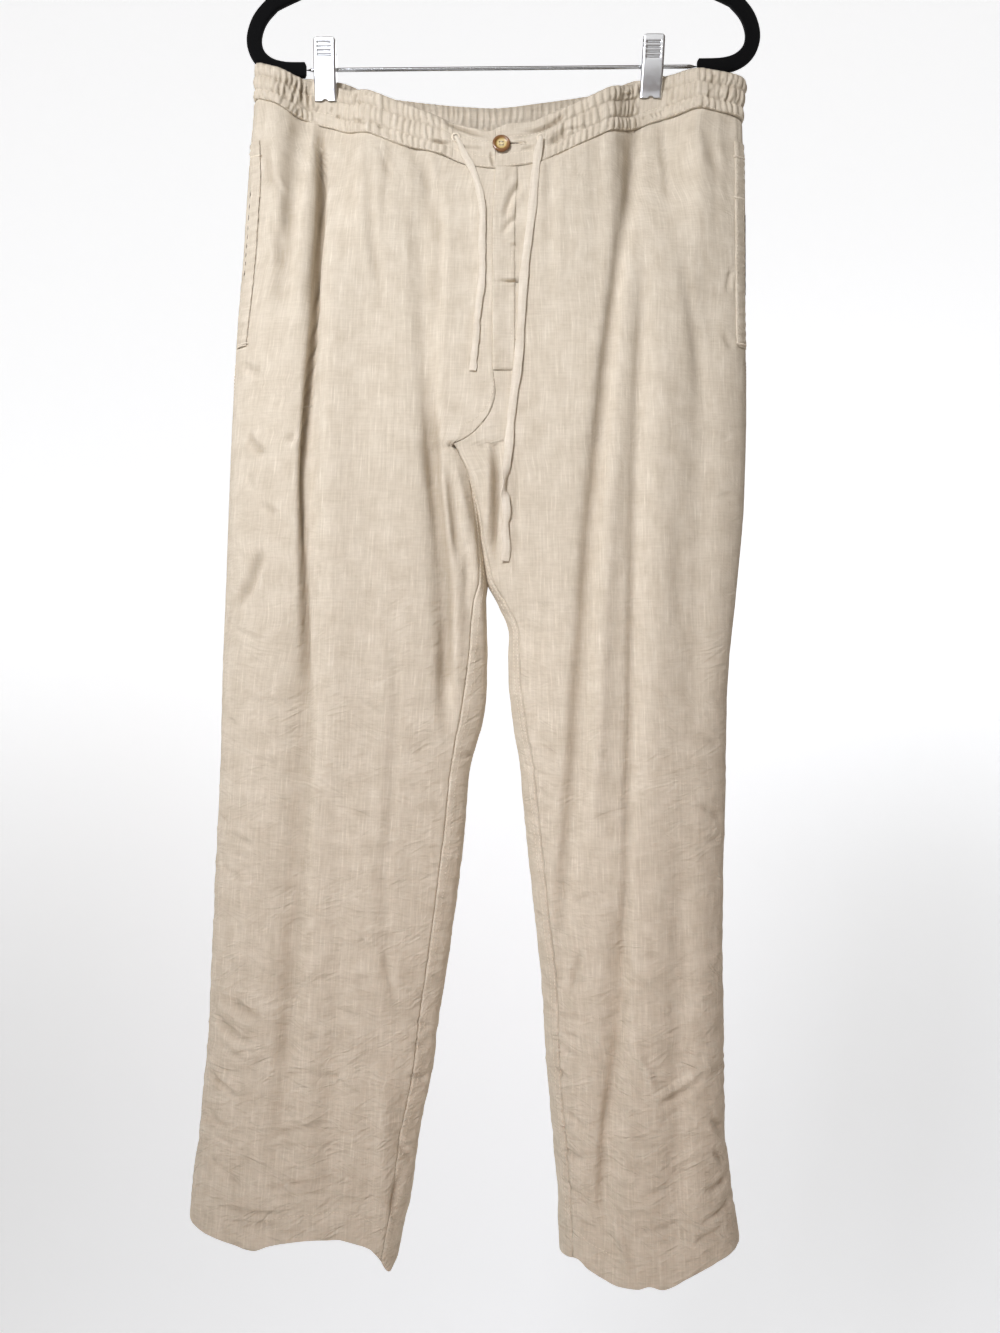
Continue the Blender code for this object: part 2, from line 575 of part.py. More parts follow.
def fly_placket():
    """The stitched fly strip, laid on the left front along the centre seam."""
    def place(across, down, lift):
        level = PLACKET_TOP + (PLACKET_BOTTOM - PLACKET_TOP) * down
        x = follow(LEFT.inner, level) + 3 * SEAM_GAP + PLACKET_WIDTH * across
        panel = across_at(LEFT, x, level)
        return on_panel(LEFT, panel, level, False, lift + PLACKET_CLOTH + SEAM_GAP)

    return sheet("fly_placket", np.linspace(0, 1, 4), np.linspace(0, 1, 8), place, PLACKET_CLOTH, "linen")


def pocket_edge(name, leg):
    """The stitched edge of a side pocket's mouth."""
    way = 1.0 if leg is RIGHT else -1.0

    def place(across, down, lift):
        level = POCKET_TOP + (POCKET_BOTTOM - POCKET_TOP) * down
        mouth = follow(leg.side, level) + way * (follow(leg.pocket, level) + 2 * SEAM_GAP)
        panel = across_at(leg, mouth + way * POCKET_WIDTH * across, level)
        return on_panel(leg, panel, level, False, lift + POCKET_CLOTH + 2 * SEAM_GAP)

    return sheet(name, np.linspace(0, 1, 5), np.linspace(0, 1, 9), place, POCKET_CLOTH, "linen")


# ---------------------------------------------------------------- waistband
def panel_top(leg, on_back):
    """The corners of a panel's top edge, as turn and level."""
    across = seamed(PANEL_COLUMNS)
    level = panel_levels(leg, across, np.zeros_like(across), on_back)
    first, last = turn_limits(leg, level, on_back)
    return first + (last - first) * across, level


def band_point(leg, turn, rise, on_back, lift):
    """A point of the waistband's outer face and the unit vector along it. rise is 0 at the seam and 1
    at the top edge."""
    x = between(leg, WAIST_LEVEL / 2, turn)
    seam = np.min([np.interp(turn + step, *panel_top(leg, on_back)) for step in CORNER_STEPS], axis=0)
    seam = seam - SEAM_GAP
    level = seam + (follow(BACK_TOP if on_back else FRONT_TOP, x) - seam) * rise
    first, last = (math.pi, 2 * math.pi) if on_back else (0.0, math.pi)
    x, y, dx, dy = leg_point(leg, turn, level, on_back, lift, first, last)
    if not on_back:
        y = y + CENTRE_LEAN * fade(0.68, 1.0, rise) * fade(-75, -38, x) * (1 - fade(30, 68, x))
    return x, y, dx, dy, level


def even_turns(leg, first, last, count, on_back):
    """count + 1 places round the waist, evenly spaced along the cloth, and the length of cloth."""
    turns = np.linspace(first, last, 400)
    x, y, _, _, _ = band_point(leg, turns, np.full_like(turns, 0.5), on_back, 0.0)
    run = np.concatenate([[0.0], np.cumsum(np.hypot(np.diff(x), np.diff(y)))])
    return np.interp(np.linspace(0.0, run[-1], count + 1), run, turns), run[-1]


def gathered_places(leg, first, last, on_back):
    """Turns and gather heights along a gathered stretch: three points for each gather."""
    _, length = even_turns(leg, first, last, 8, on_back)
    gathers = round(length / GATHER_PITCH)
    turns, _ = even_turns(leg, first, last, 3 * gathers, on_back)
    waves = np.where(np.arange(3 * gathers + 1) % 3 == 1, 1.0, -GATHER_TROUGH)
    waves[0] = waves[-1] = 0.0
    return turns, waves


def waistband_piece(name, spans, on_back, gathered=True):
    """A stretch of waistband over one or two legs. spans lists (leg, first turn, last turn)."""
    turns, waves, on_right = [], [], []
    for leg, first, last in spans:
        if gathered:
            places, heights = gathered_places(leg, first, last, on_back)
        else:
            places, _ = even_turns(leg, first, last, TAB_COLUMNS, on_back)
            heights = np.zeros_like(places)
        skip = 1 if turns else 0
        turns += list(places[skip:])
        waves += list(heights[skip:])
        on_right += [leg is RIGHT] * (len(places) - skip)
    turns, waves, on_right = np.array(turns), np.array(waves), np.array(on_right)
    last_index = len(turns) - 1
    inwards = np.zeros(last_index + 1)
    inwards[0] = np.sign(turns[1] - turns[0])
    inwards[-1] = np.sign(turns[-2] - turns[-1])

    def place(across, down, lift):
        index = np.rint(across * last_index).astype(int)
        stitched = np.where((down > 0.1) & (down < 0.9), STITCHED_SHARE, 1.0)
        halves = []
        for leg in (RIGHT, LEFT):
            x, _, _, _, _ = band_point(leg, turns[index], down, on_back, 0.0)
            loose = 1 - 0.8 * clip_grip(x, np.zeros_like(x))
            puff = lift + GATHER_DEPTH * waves[index] * stitched * loose
            x, y, dx, dy, level = band_point(leg, turns[index], down, on_back, puff)
            gap = SEAM_GAP / 2 * inwards[index]
            halves.append((x + dx * gap, y + dy * gap, height(level)))
        return [np.where(on_right[index], first, second) for first, second in zip(*halves)]

    return sheet(name, np.linspace(0, 1, last_index + 1), BAND_ROWS, place, BAND_CLOTH, "linen")


def waistband():
    tab_right = float(turn_at(RIGHT, np.array(TAB_RIGHT_X), np.array(WAIST_LEVEL / 2)))
    tab_left = float(turn_at(LEFT, np.array(TAB_LEFT_X), np.array(WAIST_LEVEL / 2)))
    waistband_piece("waistband_front_right", [(RIGHT, 0.0, tab_right)], False)
    waistband_piece("waistband_front_left", [(LEFT, 0.0, tab_left)], False)
    waistband_piece("waistband_tab_right", [(RIGHT, tab_right, math.pi)], False, gathered=False)
    waistband_piece("waistband_tab_left", [(LEFT, tab_left, math.pi)], False, gathered=False)
    waistband_piece("waistband_back", [(RIGHT, 2 * math.pi, math.pi), (LEFT, math.pi, 2 * math.pi)], True)


# ---------------------------------------------------------------- drawstring, eyelets and button
def drawstring(name, tail):
    line = smooth_route([(point.x, point.y, height(point.level)) for point in tail], 2 * len(tail) - 1)
    return strip(name, line, DRAWSTRING_WIDTH, DRAWSTRING_CLOTH, "cord")


def seat_on_band(made, leg, x, level, off):
    """Lay a round piece on the waistband's face, its local +Z facing out, its origin off the cloth."""
    reach = np.array([-4.0, 0.0, 4.0])
    turn = turn_at(leg, np.full(3, x), level + reach)
    _, y, _, _ = leg_point(leg, turn, level + reach, False, 0.0, 0.0, math.pi)
    tilt = math.atan2(y[0] - y[2], reach[2] - reach[0])
    made.rotation_euler = (math.pi / 2 - tilt, 0.0, 0.0)
    made.location = (x * MM, (y[1] - off * math.cos(tilt)) * MM,
                     (float(height(level)) + off * math.sin(tilt)) * MM)


def eyelet(name, leg, x, level):
    """A worked eyelet, a small ring on the waistband."""
    bpy.ops.mesh.primitive_torus_add(major_segments=16, minor_segments=6,
                                     major_radius=EYELET_RADIUS * MM, minor_radius=EYELET_RIM * MM)
    made = bpy.context.object
    adopt(made, name, "linen")
    seat_on_band(made, leg, x, level, EYELET_RIM + SEAM_GAP)


def adopt(made, name, finish):
    """Name an object that an operator made, give it its material and move it to the collection."""
    made.name = name
    made.data.name = name
    made.data.materials.clear()
    made.data.materials.append(material(finish))
    made.data.shade_smooth()
    made.data.set_sharp_from_angle(angle=math.radians(40))
    for holder in list(made.users_collection):
        holder.objects.unlink(made)
    collection.objects.link(made)


def button():
    """A dished four-hole button, its holes left to the finish."""
    rim, dish, high = BUTTON_RADIUS, BUTTON_DISH, BUTTON_HEIGHT
    profile = [(0.0, high - 1.2), (dish - 0.8, high - 1.2), (dish, high - 0.2), (rim - 1.0, high),
               (rim, high - 1.0), (rim, 1.0), (rim - 1.2, 0.0), (0.0, 0.0)]
    seat_on_band(turned("button", profile, 24, "horn"), LEFT, BUTTON_X, BUTTON_LEVEL, SEAM_GAP)


# ---------------------------------------------------------------- hanger
def hanger_frame():
    """The flocked frame, one bar bent from one end of the chrome bar over the neck to the other."""
    half = [(edge.x, 0.0, float(height(edge.level))) for edge in FRAME_HALF]
    mirrored = [(-x, y, z) for x, y, z in half]
    mirrored[0] = (BAR_RIGHT_END, 0.0, -BAR_DROP)
    line = mirrored + [(0.0, 0.0, float(height(NECK_LEVEL)))] + half[::-1]
    strip("hanger_frame", smooth_route(line, 2 * len(line) - 1), FRAME_HEIGHT, FRAME_THICKNESS, "flock",
          bevel=1.4)


def hanger_bar():
    start = BAR_RIGHT_END + SEAM_GAP
    end = BAR_LEFT_END - SEAM_GAP
    bpy.ops.mesh.primitive_cylinder_add(
        vertices=12, radius=BAR_RADIUS * MM, depth=(end - start) * MM,
        location=((start + end) / 2 * MM, 0.0, -BAR_DROP * MM), rotation=(0.0, math.pi / 2, 0.0))
    adopt(bpy.context.object, "hanger_bar", "chrome")


def hanger_hook():
    """The wire hook: a straight stem, a short bend and an arc over the origin."""
    centre_radius = HOOK_RADIUS + WIRE_RADIUS
    foot = float(height(NECK_LEVEL)) + FRAME_HEIGHT / 2 + SEAM_GAP
    stem = [(0.0, 0.0, foot), (0.0, 0.0, foot + 16.5), (2.6, 0.0, foot + 26.5)]
    arc = [(centre_radius * math.cos(math.radians(angle)), 0.0,
            -HOOK_RADIUS + centre_radius * math.sin(math.radians(angle))) for angle in range(-56, 206, 13)]
    wire("hanger_hook", stem + arc, WIRE_RADIUS, "chrome", 2)


def clip_leaf(name, x, lean, way):
    """One leaf of a clip, a folded plate: way is -1 in front and 1 behind."""
    half = CLIP_WIDTH / 2 - (0.0 if way < 0 else CLIP_NESTING)

    def place(across, down, lift):
        column = np.rint(across * 3).astype(int)
        level, face, rim = np.array(CLIP_LEAF)[np.rint(down * (len(CLIP_LEAF) - 1)).astype(int)].T
        flange = (column == 0) | (column == 3)
        depth = np.where(flange, rim, face + lift)
        side = np.where(column < 2, -half - lift, half + lift)
        return x + lean * (down - 0.5) + side, way * depth, height(level)

    rows = np.linspace(0, 1, len(CLIP_LEAF))
    return sheet(name, np.linspace(0, 1, 4), rows, place, CLIP_PLATE, "chrome")


def clip(name, x, lean):
    clip_leaf(name + "_front", x, lean, -1)
    clip_leaf(name + "_back", x, lean, 1)


# ---------------------------------------------------------------- build
for old in list(bpy.data.objects):
    bpy.data.objects.remove(old)
collection = bpy.data.collections.new("linen_trousers")
bpy.context.scene.collection.children.link(collection)

leg_panel("front_right", RIGHT, False)
leg_panel("front_left", LEFT, False)
leg_panel("back_right", RIGHT, True)
leg_panel("back_left", LEFT, True)
hem_turn_up("hem_front_right", RIGHT, False)
hem_turn_up("hem_front_left", LEFT, False)
hem_turn_up("hem_back_right", RIGHT, True)
hem_turn_up("hem_back_left", LEFT, True)
waistband()
fly_placket()
pocket_edge("pocket_edge_right", RIGHT)
pocket_edge("pocket_edge_left", LEFT)
drawstring("drawstring_right", TAIL_RIGHT)
drawstring("drawstring_left", TAIL_LEFT)
eyelet("eyelet_right", RIGHT, TAIL_RIGHT[0].x, TAIL_RIGHT[0].level)
eyelet("eyelet_left", LEFT, TAIL_LEFT[0].x, TAIL_LEFT[0].level)
button()
hanger_frame()
hanger_bar()
hanger_hook()
clip("clip_right", CLIP_RIGHT_X, 0.0)
clip("clip_left", CLIP_LEFT_X, CLIP_LEFT_LEAN)
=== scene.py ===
# %% [markdown]
# # Linen drawstring trousers on a clip hanger
#
# A pair of washed-linen trousers hangs flat from the two clips of a slim hanger. The solid model of
# the part gives every piece its place and true size. This lesson dresses it: fine cloth with its
# creases, gathers and stitches, folded tape for the drawstring, a horn-like button, and the finishes
# of the hanger. All lengths below are millimetres, turned to metres only when a mesh is made.
# Heights are given as a level, in millimetres below the axis of the hanger's bar.

# %% Load the frame
import math
from collections import namedtuple

import bmesh
import bpy
import numpy as np
from mathutils import Matrix, Vector


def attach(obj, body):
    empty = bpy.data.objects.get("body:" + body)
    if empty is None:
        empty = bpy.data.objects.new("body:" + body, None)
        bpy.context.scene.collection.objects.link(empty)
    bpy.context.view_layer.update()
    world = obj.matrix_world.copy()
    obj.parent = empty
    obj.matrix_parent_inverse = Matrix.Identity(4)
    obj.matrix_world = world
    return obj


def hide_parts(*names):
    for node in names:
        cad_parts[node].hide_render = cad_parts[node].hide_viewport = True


MM = 0.001
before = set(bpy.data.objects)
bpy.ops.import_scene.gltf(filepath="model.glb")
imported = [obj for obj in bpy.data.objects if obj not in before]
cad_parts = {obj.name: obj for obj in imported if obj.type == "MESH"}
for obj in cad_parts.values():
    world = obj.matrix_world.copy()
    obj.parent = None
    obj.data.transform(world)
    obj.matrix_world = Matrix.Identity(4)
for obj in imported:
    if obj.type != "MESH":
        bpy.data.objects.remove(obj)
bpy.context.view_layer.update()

# %% [markdown]
# The camera stands 0.88 m in front of the trousers, level with their middle, and looks straight
# back. A lens of 27.4 mm on a 36 mm sensor takes in the whole hanging length. It comes first,
# because the cords are tested against what it sees.

# %% Camera
CAMERA_PLACE = (-3.0, -880.0, -747.2)
LENS, SENSOR = 27.4, 36.0

camera_data = bpy.data.cameras.new("camera")
camera_data.sensor_width = SENSOR
camera_data.lens = LENS
camera = bpy.data.objects.new("camera", camera_data)
camera.location = [value * MM for value in CAMERA_PLACE]
camera.rotation_euler = (math.pi / 2, 0.0, 0.0)
bpy.context.scene.collection.objects.link(camera)
bpy.context.scene.camera = camera
print("camera", tuple(round(value, 3) for value in camera.location))

# %% [markdown]
# ## Colours and nodes
#
# Colours are written as sRGB hex, the way a colour picker shows them. Shader sockets want linear
# light, so one function turns a hex value to linear. A second small function adds a shader node,
# sets its properties and fills its sockets, from a value or from another node's output. Two more
# use it: a mix of two colours, and an even grain through a piece.

# %% Colours and nodes
def linear(code, alpha=1.0):
    """An sRGB hex colour such as "#d8c7ac" as linear RGBA."""
    channels = [int(code[place:place + 2], 16) / 255 for place in (1, 3, 5)]
    straight = [c / 12.92 if c <= 0.04045 else ((c + 0.055) / 1.055) ** 2.4 for c in channels]
    return (*straight, alpha)


def add_node(tree, kind, inputs=(), **settings):
    """Add one node. inputs maps a socket's name or number to a value or to another node's output."""
    made = tree.nodes.new(kind)
    for name, value in settings.items():
        setattr(made, name, value)
    for socket, value in dict(inputs).items():
        if isinstance(value, bpy.types.NodeSocket):
            tree.links.new(value, made.inputs[socket])
        else:
            made.inputs[socket].default_value = value
    return made


def new_finish(name, roughness, metallic=0.0, colour="#808080", **sockets):
    """A material with one Principled shader. sockets sets further inputs, with _ for a space."""
    made = bpy.data.materials.new(name)
    made.use_nodes = True
    shader = made.node_tree.nodes["Principled BSDF"]
    shader.inputs["Base Color"].default_value = linear(colour)
    shader.inputs["Roughness"].default_value = roughness
    shader.inputs["Metallic"].default_value = metallic
    for socket, value in sockets.items():
        shader.inputs[socket.replace("_", " ")].default_value = value
    made.diffuse_color = linear(colour)
    return made, made.node_tree, shader


def colour_mix(tree, share, first, second):
    """A colour from a first to a second one, each a hex value or an output, at a share from 0 to 1."""
    ends = [linear(end) if isinstance(end, str) else end for end in (first, second)]
    return add_node(tree, "ShaderNodeMix", {0: share, 6: ends[0], 7: ends[1]}, data_type="RGBA").outputs[2]


def grains(tree, scale, detail=2.0):
    """Even noise through a piece, with about scale grains to the metre."""
    place = add_node(tree, "ShaderNodeTexCoord").outputs["Object"]
    noise = add_node(tree, "ShaderNodeTexNoise", {"Vector": place, "Scale": scale, "Detail": detail})
    return noise.outputs["Fac"]


# %% [markdown]
# ## Linen
#
# Linen is woven from flax yarn, whose thickness varies along its length. Thick places, the slubs,
# run as short streaks down the warp and across the weft, a little lighter than the rest. Washed
# linen is matt, with a faint sheen on its loose fibres, and full of fine broken creases. The
# pattern could be an image, but noise stretched along each yarn gives it at any scale. It reads the
# cloth's own UV map, whose unit is the metre, so the yarns follow each cut piece. The creases too
# fine for the mesh are ridged noise in the bump, stronger where an attribute of the mesh says the
# cloth is more creased, and the same noise paints light on their ridges and shade in their troughs
# into the colour. The shade attribute paints shade into the colour at the bottoms of folds, in the
# gathers' valleys and where the legs touch.

# %% Linen
YARN = 0.8              # across a yarn; a true yarn is 0.5 mm, too fine to show from a step away
SLUB = (1.5, 30.0)      # across and along a slub
SLUB_FROM, SLUB_LIGHT = 0.60, 2.2       # a slub shows where its noise passes the first, by the second
FACETS = (((42.0, 12.0), 0.30, 2.6), ((30.0, 9.0), -0.45, -2.6))        # size, angle and patchiness
# painted light and shade on the fine creases: ridges lighter, troughs darker
CREASE_PAINTED_LIGHT = 0.22      # how far the fine creases lighten and darken the cloth
# painted shade: the colour mixed in at the bottoms of folds and gathers and where the legs touch
PAINTED_SHADE_COLOUR = "#76644c"         # at the bottom of a fold


def streaks(tree, uv, across, along, detail=2.0, distortion=0.0, turned=0.0):
    """Noise whose cells measure across by along millimetres on the UV map, turned by an angle."""
    moved = add_node(tree, "ShaderNodeMapping",
                     {"Vector": uv, "Rotation": (0.0, 0.0, turned), "Scale": (across * MM, along * MM, 1.0)},
                     vector_type="TEXTURE")
    noise = add_node(tree, "ShaderNodeTexNoise",
                     {"Vector": moved.outputs["Vector"], "Scale": 1.0, "Detail": detail, "Roughness": 0.6,
                      "Distortion": distortion})
    return noise.outputs["Fac"]


def math_node(tree, operation, *values):
    """One math node on up to three values or outputs."""
    return add_node(tree, "ShaderNodeMath", dict(enumerate(values)), operation=operation).outputs[0]


def scaled_sum(tree, terms):
    """The sum of (factor, output - 0.5) terms."""
    total = None
    for factor, output in terms:
        part = math_node(tree, "MULTIPLY_ADD", output, factor, -factor / 2)
        total = part if total is None else math_node(tree, "ADD", total, part)
    return total


def ridges(tree, noise, sharpness):
    """Narrow ridges along the lines where a noise passes through its middle value."""
    centred = math_node(tree, "ABSOLUTE", math_node(tree, "MULTIPLY_ADD", noise, 4.0, -2.0))
    narrow = math_node(tree, "MAXIMUM", math_node(tree, "SUBTRACT", 1.0, centred), 0.0)
    return math_node(tree, "POWER", narrow, sharpness)


def woven_linen(name, light, dark, crease_height):
    """Washed plain-weave linen between a light and a dark hex colour."""
    made, tree, shader = new_finish(name, 0.88, colour=light, Sheen_Weight=0.15, Sheen_Roughness=0.5,
                                    Specular_IOR_Level=0.2)
    shader.inputs["Sheen Tint"].default_value = linear("#fff3e0")
    uv = add_node(tree, "ShaderNodeTexCoord").outputs["UV"]
    creasing = add_node(tree, "ShaderNodeAttribute", attribute_name="creasing").outputs["Fac"]
    warp = streaks(tree, uv, *SLUB)
    weft = streaks(tree, uv, SLUB[1] * 0.7, SLUB[0])
    yarns = streaks(tree, uv, YARN, 14.0)
    cross_yarns = streaks(tree, uv, 11.0, YARN)
    bars = streaks(tree, uv, 4.0, 120.0)
    cloudy = streaks(tree, uv, 16.0, 20.0, 4.0)
    thick = math_node(tree, "MAXIMUM", math_node(tree, "SUBTRACT", warp, SLUB_FROM), 0.0)
    slub = math_node(tree, "MULTIPLY", thick, SLUB_LIGHT)
    tone = scaled_sum(tree, [(0.70, warp), (0.45, weft), (0.34, yarns), (0.30, cross_yarns), (0.30, bars),
                             (1.00, cloudy)])
    patches = streaks(tree, uv, 60.0, 40.0, 1.0)
    folded = scaled_sum(tree, [(1.7, streaks(tree, uv, 48.0, 17.0, 2.0, 0.8)),
                               (1.0, streaks(tree, uv, 15.0, 7.0, 2.0, 0.6))])
    for size, angle, lean in FACETS:
        facets = ridges(tree, streaks(tree, uv, *size, 2.0, 0.8, angle), 1.4)
        where = add_node(tree, "ShaderNodeMath", {0: patches, 1: lean, 2: 0.5 - lean / 2},
                         operation="MULTIPLY_ADD", use_clamp=True).outputs[0]
        folded = math_node(tree, "MULTIPLY_ADD", math_node(tree, "MULTIPLY", facets, where), 0.75, folded)
    creased = math_node(tree, "MULTIPLY", creasing, folded)
    # painted light and shade: the fine creases lighten the colour on their ridges and darken it in their
    # troughs
    tone = math_node(tree, "MULTIPLY_ADD", creased, CREASE_PAINTED_LIGHT, tone)
    mixed = add_node(tree, "ShaderNodeMath", {0: math_node(tree, "ADD", tone, slub), 1: 0.5}, operation="ADD",
                     use_clamp=True)
    colour = colour_mix(tree, mixed.outputs[0], dark, light)
    # painted shade: the shade attribute mixes the colour towards a dark brown at the bottoms of folds, in the
    # gathers' valleys and where the legs touch
    painted_shade = add_node(tree, "ShaderNodeAttribute", attribute_name="shade").outputs["Fac"]
    tree.links.new(colour_mix(tree, painted_shade, colour, PAINTED_SHADE_COLOUR), shader.inputs["Base Color"])
    soft = streaks(tree, uv, 22.0, 40.0, 3.0)
    height = math_node(tree, "MULTIPLY_ADD", creased, crease_height,
                       scaled_sum(tree, [(0.10, warp), (0.10, weft), (0.07, yarns), (0.07, cross_yarns),
                                         (0.9, soft)]))
    raised = add_node(tree, "ShaderNodeBump", {"Height": height, "Strength": 1.0, "Distance": 1.0 * MM})
    tree.links.new(raised.outputs["Normal"], shader.inputs["Normal"])
    return made


linen = woven_linen("washed_linen", "#dfd4c1", "#bbad97", 1.45)
tape_linen = woven_linen("folded_linen_tape", "#e6dccb", "#cabda8", 0.8)
print("linen slubs are", SLUB[1], "mm long")

# %% [markdown]
# ## Curves through a few values
#
# The outline of a hanging garment is a handful of measured places with a smooth line through them.
# `follow` reads such a table with a curve that never overshoots, `fade` is the soft step that starts
# and ends every fold, and `bell` is the fold's own section.

# %% Curves
def follow(table, at, column=1):
    """Read a table's column at a value of its first one, on a smooth curve with no overshoot."""
    knots = np.array([row[0] for row in table], dtype=float)
    values = np.array([row[column] for row in table], dtype=float)
    slopes = np.diff(values) / np.diff(knots)
    tangents = np.zeros_like(values)
    same_way = slopes[:-1] * slopes[1:] > 0
    harmonic = 2 * slopes[:-1] * slopes[1:] / np.where(same_way, slopes[:-1] + slopes[1:], 1.0)
    tangents[1:-1] = np.where(same_way, harmonic, 0.0)
    tangents[0] = slopes[0]
    tangents[-1] = slopes[-1]
    at = np.clip(np.asarray(at, dtype=float), knots[0], knots[-1])
    span = np.clip(np.searchsorted(knots, at, side="right") - 1, 0, len(slopes) - 1)
    width = knots[span + 1] - knots[span]
    t = (at - knots[span]) / width
    start = (1 + 2 * t) * (1 - t) ** 2 * values[span] + t * (1 - t) ** 2 * width * tangents[span]
    end = t * t * (3 - 2 * t) * values[span + 1] + t * t * (t - 1) * width * tangents[span + 1]
    return start + end


def fade(start, end, value):
    """0 before start, 1 after end, smooth between them."""
    t = np.clip((np.asarray(value, dtype=float) - start) / (end - start), 0.0, 1.0)
    return t * t * (3 - 2 * t)


def bell(offset, reach):
    """1 at no offset, falling to 0 at about twice the reach on both sides."""
    return np.exp(-(offset / reach) ** 2)


def smooth_route(points, count):
    """count points, evenly numbered, on a smooth curve through the given ones."""
    points = np.asarray(points, dtype=float)
    at = np.linspace(0.0, len(points) - 1.0, count)
    index = np.clip(at.astype(int), 0, len(points) - 2)
    t = (at - index)[:, None]
    before = points[np.clip(index - 1, 0, None)]
    start = points[index]
    end = points[index + 1]
    after = points[np.clip(index + 2, None, len(points) - 1)]
    return 0.5 * (2 * start + (end - before) * t + (2 * before - 5 * start + 4 * end - after) * t ** 2
                  + (3 * start - before - 3 * end + after) * t ** 3)


def line_length(line):
    """The length of a line of points."""
    return float(np.linalg.norm(np.diff(line, axis=0), axis=1).sum())


BAR_DROP = 230.0        # from the hook's inner crown down to the bar's axis


def height(level):
    """The height of a level."""
    return -(BAR_DROP + np.asarray(level, dtype=float))


# %% [markdown]
# ## Moving a grid onto a form
#
# Cloth, tape, wire and plate all start as one flat grid. Blender's grid operator makes the vertices
# and faces, a place function says where each column and row goes, and a UV map measured along the
# finished surface lets a weave follow it. A swept piece closes the grid into a tube.

# %% Grids and tubes
WELD = 0.00001          # metres: vertices nearer than this are one
FORWARDS = np.array([0.0, -1.0, 0.0])


def mesh_from(name, bm):
    """A mesh from what was built with bmesh, which is freed."""
    mesh = bpy.data.meshes.new(name)
    bm.to_mesh(mesh)
    bm.free()
    return mesh


def put_in_scene(name, mesh, finish):
    """An object at the origin for a finished mesh, riding on the one body."""
    mesh.materials.clear()
    mesh.materials.append(finish)
    made = bpy.data.objects.new(name, mesh)
    bpy.context.scene.collection.objects.link(made)
    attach(made, "root")
    return made


def grid_on_form(name, columns, rows, place, flip=False, creasing=0.3, grain=None):
    """A grid mesh moved onto a form. place(column, row) takes number arrays and gives x, y, z and,
    if it likes, how much painted shade each point takes, from 0 to 1.
    creasing, a number or an array over the grid, is how creased the cloth's finish is there, for
    both the fine creases' bump and the light and shade painted on them. grain
    gives the two ends' x of the straight yarn that the UV map is measured from."""
    bm = bmesh.new()
    bmesh.ops.create_grid(bm, x_segments=columns, y_segments=rows, size=0.5)
    mesh = mesh_from(name, bm)
    flat = np.empty(len(mesh.vertices) * 3, dtype=np.float32)
    mesh.vertices.foreach_get("co", flat)
    flat = flat.reshape(-1, 3)
    column = np.rint((flat[:, 0] + 0.5) * columns).astype(int)
    row = np.rint((flat[:, 1] + 0.5) * rows).astype(int)
    down, across = np.mgrid[0:rows + 1, 0:columns + 1]
    placed = np.stack(np.broadcast_arrays(*place(across, down)), axis=-1)
    points = placed[..., :3]
    shade = placed[..., 3] if placed.shape[-1] == 4 else np.zeros(across.shape)
    mesh.vertices.foreach_set("co", (points[row, column] * MM).astype(np.float32).ravel())
    steps_across = np.linalg.norm(np.diff(points, axis=1), axis=2)
    steps_down = np.linalg.norm(np.diff(points, axis=0), axis=2).mean(axis=1)
    u = np.concatenate([np.zeros((rows + 1, 1)), np.cumsum(steps_across, axis=1)], axis=1)
    if grain is None:
        u = np.broadcast_to((u - u[:, columns // 2][:, None]).mean(axis=0), u.shape)
        v = np.broadcast_to(np.concatenate([[0.0], np.cumsum(steps_down)])[:, None], u.shape)
    else:
        way = 1 if points[0, -1, 0] > points[0, 0, 0] else -1
        yarn_x = np.linspace(*grain, rows + 1)
        at_yarn = [np.interp(way * x, way * points[k, :, 0], u[k]) for k, x in enumerate(yarn_x)]
        u = u - np.array(at_yarn)[:, None]
        v = -points[..., 2]
    corner = np.empty(len(mesh.loops), dtype=np.int32)
    mesh.loops.foreach_get("vertex_index", corner)
    uv = np.stack([u[row, column], v[row, column]], axis=1)[corner] * MM
    layer = mesh.uv_layers.new(name="cloth")
    layer.data.foreach_set("uv", uv.astype(np.float32).ravel())
    marks = np.broadcast_to(creasing, (rows + 1, columns + 1))[row, column]
    mesh.attributes.new("creasing", "FLOAT", "POINT").data.foreach_set("value", marks.astype(np.float32).ravel())
    shades = np.clip(shade[row, column], 0.0, 1.0).astype(np.float32)
    mesh.attributes.new("shade", "FLOAT", "POINT").data.foreach_set("value", shades.ravel())
    if flip:
        mesh.flip_normals()
    mesh.update()
    mesh.shade_smooth()
    return mesh


def thicken(made, thickness):
    """Give a sheet its wall, grown inwards from its face."""
    wall = made.modifiers.new("wall", "SOLIDIFY")
    wall.thickness = thickness * MM
    wall.offset = -1.0
    return made


def close_tube(mesh, capped=True):
    """Merge a tube's first and last columns, close its ends and turn its faces outwards."""
    bm = bmesh.new()
    bm.from_mesh(mesh)
    bmesh.ops.remove_doubles(bm, verts=bm.verts[:], dist=WELD)
    if capped:
        bmesh.ops.holes_fill(bm, edges=[edge for edge in bm.edges if edge.is_boundary], sides=0)
    bmesh.ops.recalc_face_normals(bm, faces=bm.faces[:])
    bm.to_mesh(mesh)
    bm.free()
    mesh.shade_smooth()
    return mesh


def swept(name, line, outline, sides):
    """A tube along a line. outline(angle, share) gives the section's offsets aside and forwards."""
    line = np.asarray(line, dtype=float)
    along = np.gradient(line, axis=0)
    along /= np.linalg.norm(along, axis=1)[:, None]
    aside = np.cross(along, FORWARDS)
    aside /= np.linalg.norm(aside, axis=1)[:, None]
    front = np.cross(aside, along)

    def place(column, row):
        angle = 2 * math.pi * (column % sides) / sides
        side, out = outline(angle, row / (len(line) - 1))
        points = line[row] + aside[row] * side[..., None] + front[row] * out[..., None]
        return points[..., 0], points[..., 1], points[..., 2]

    return close_tube(grid_on_form(name, sides, len(line) - 1, place))
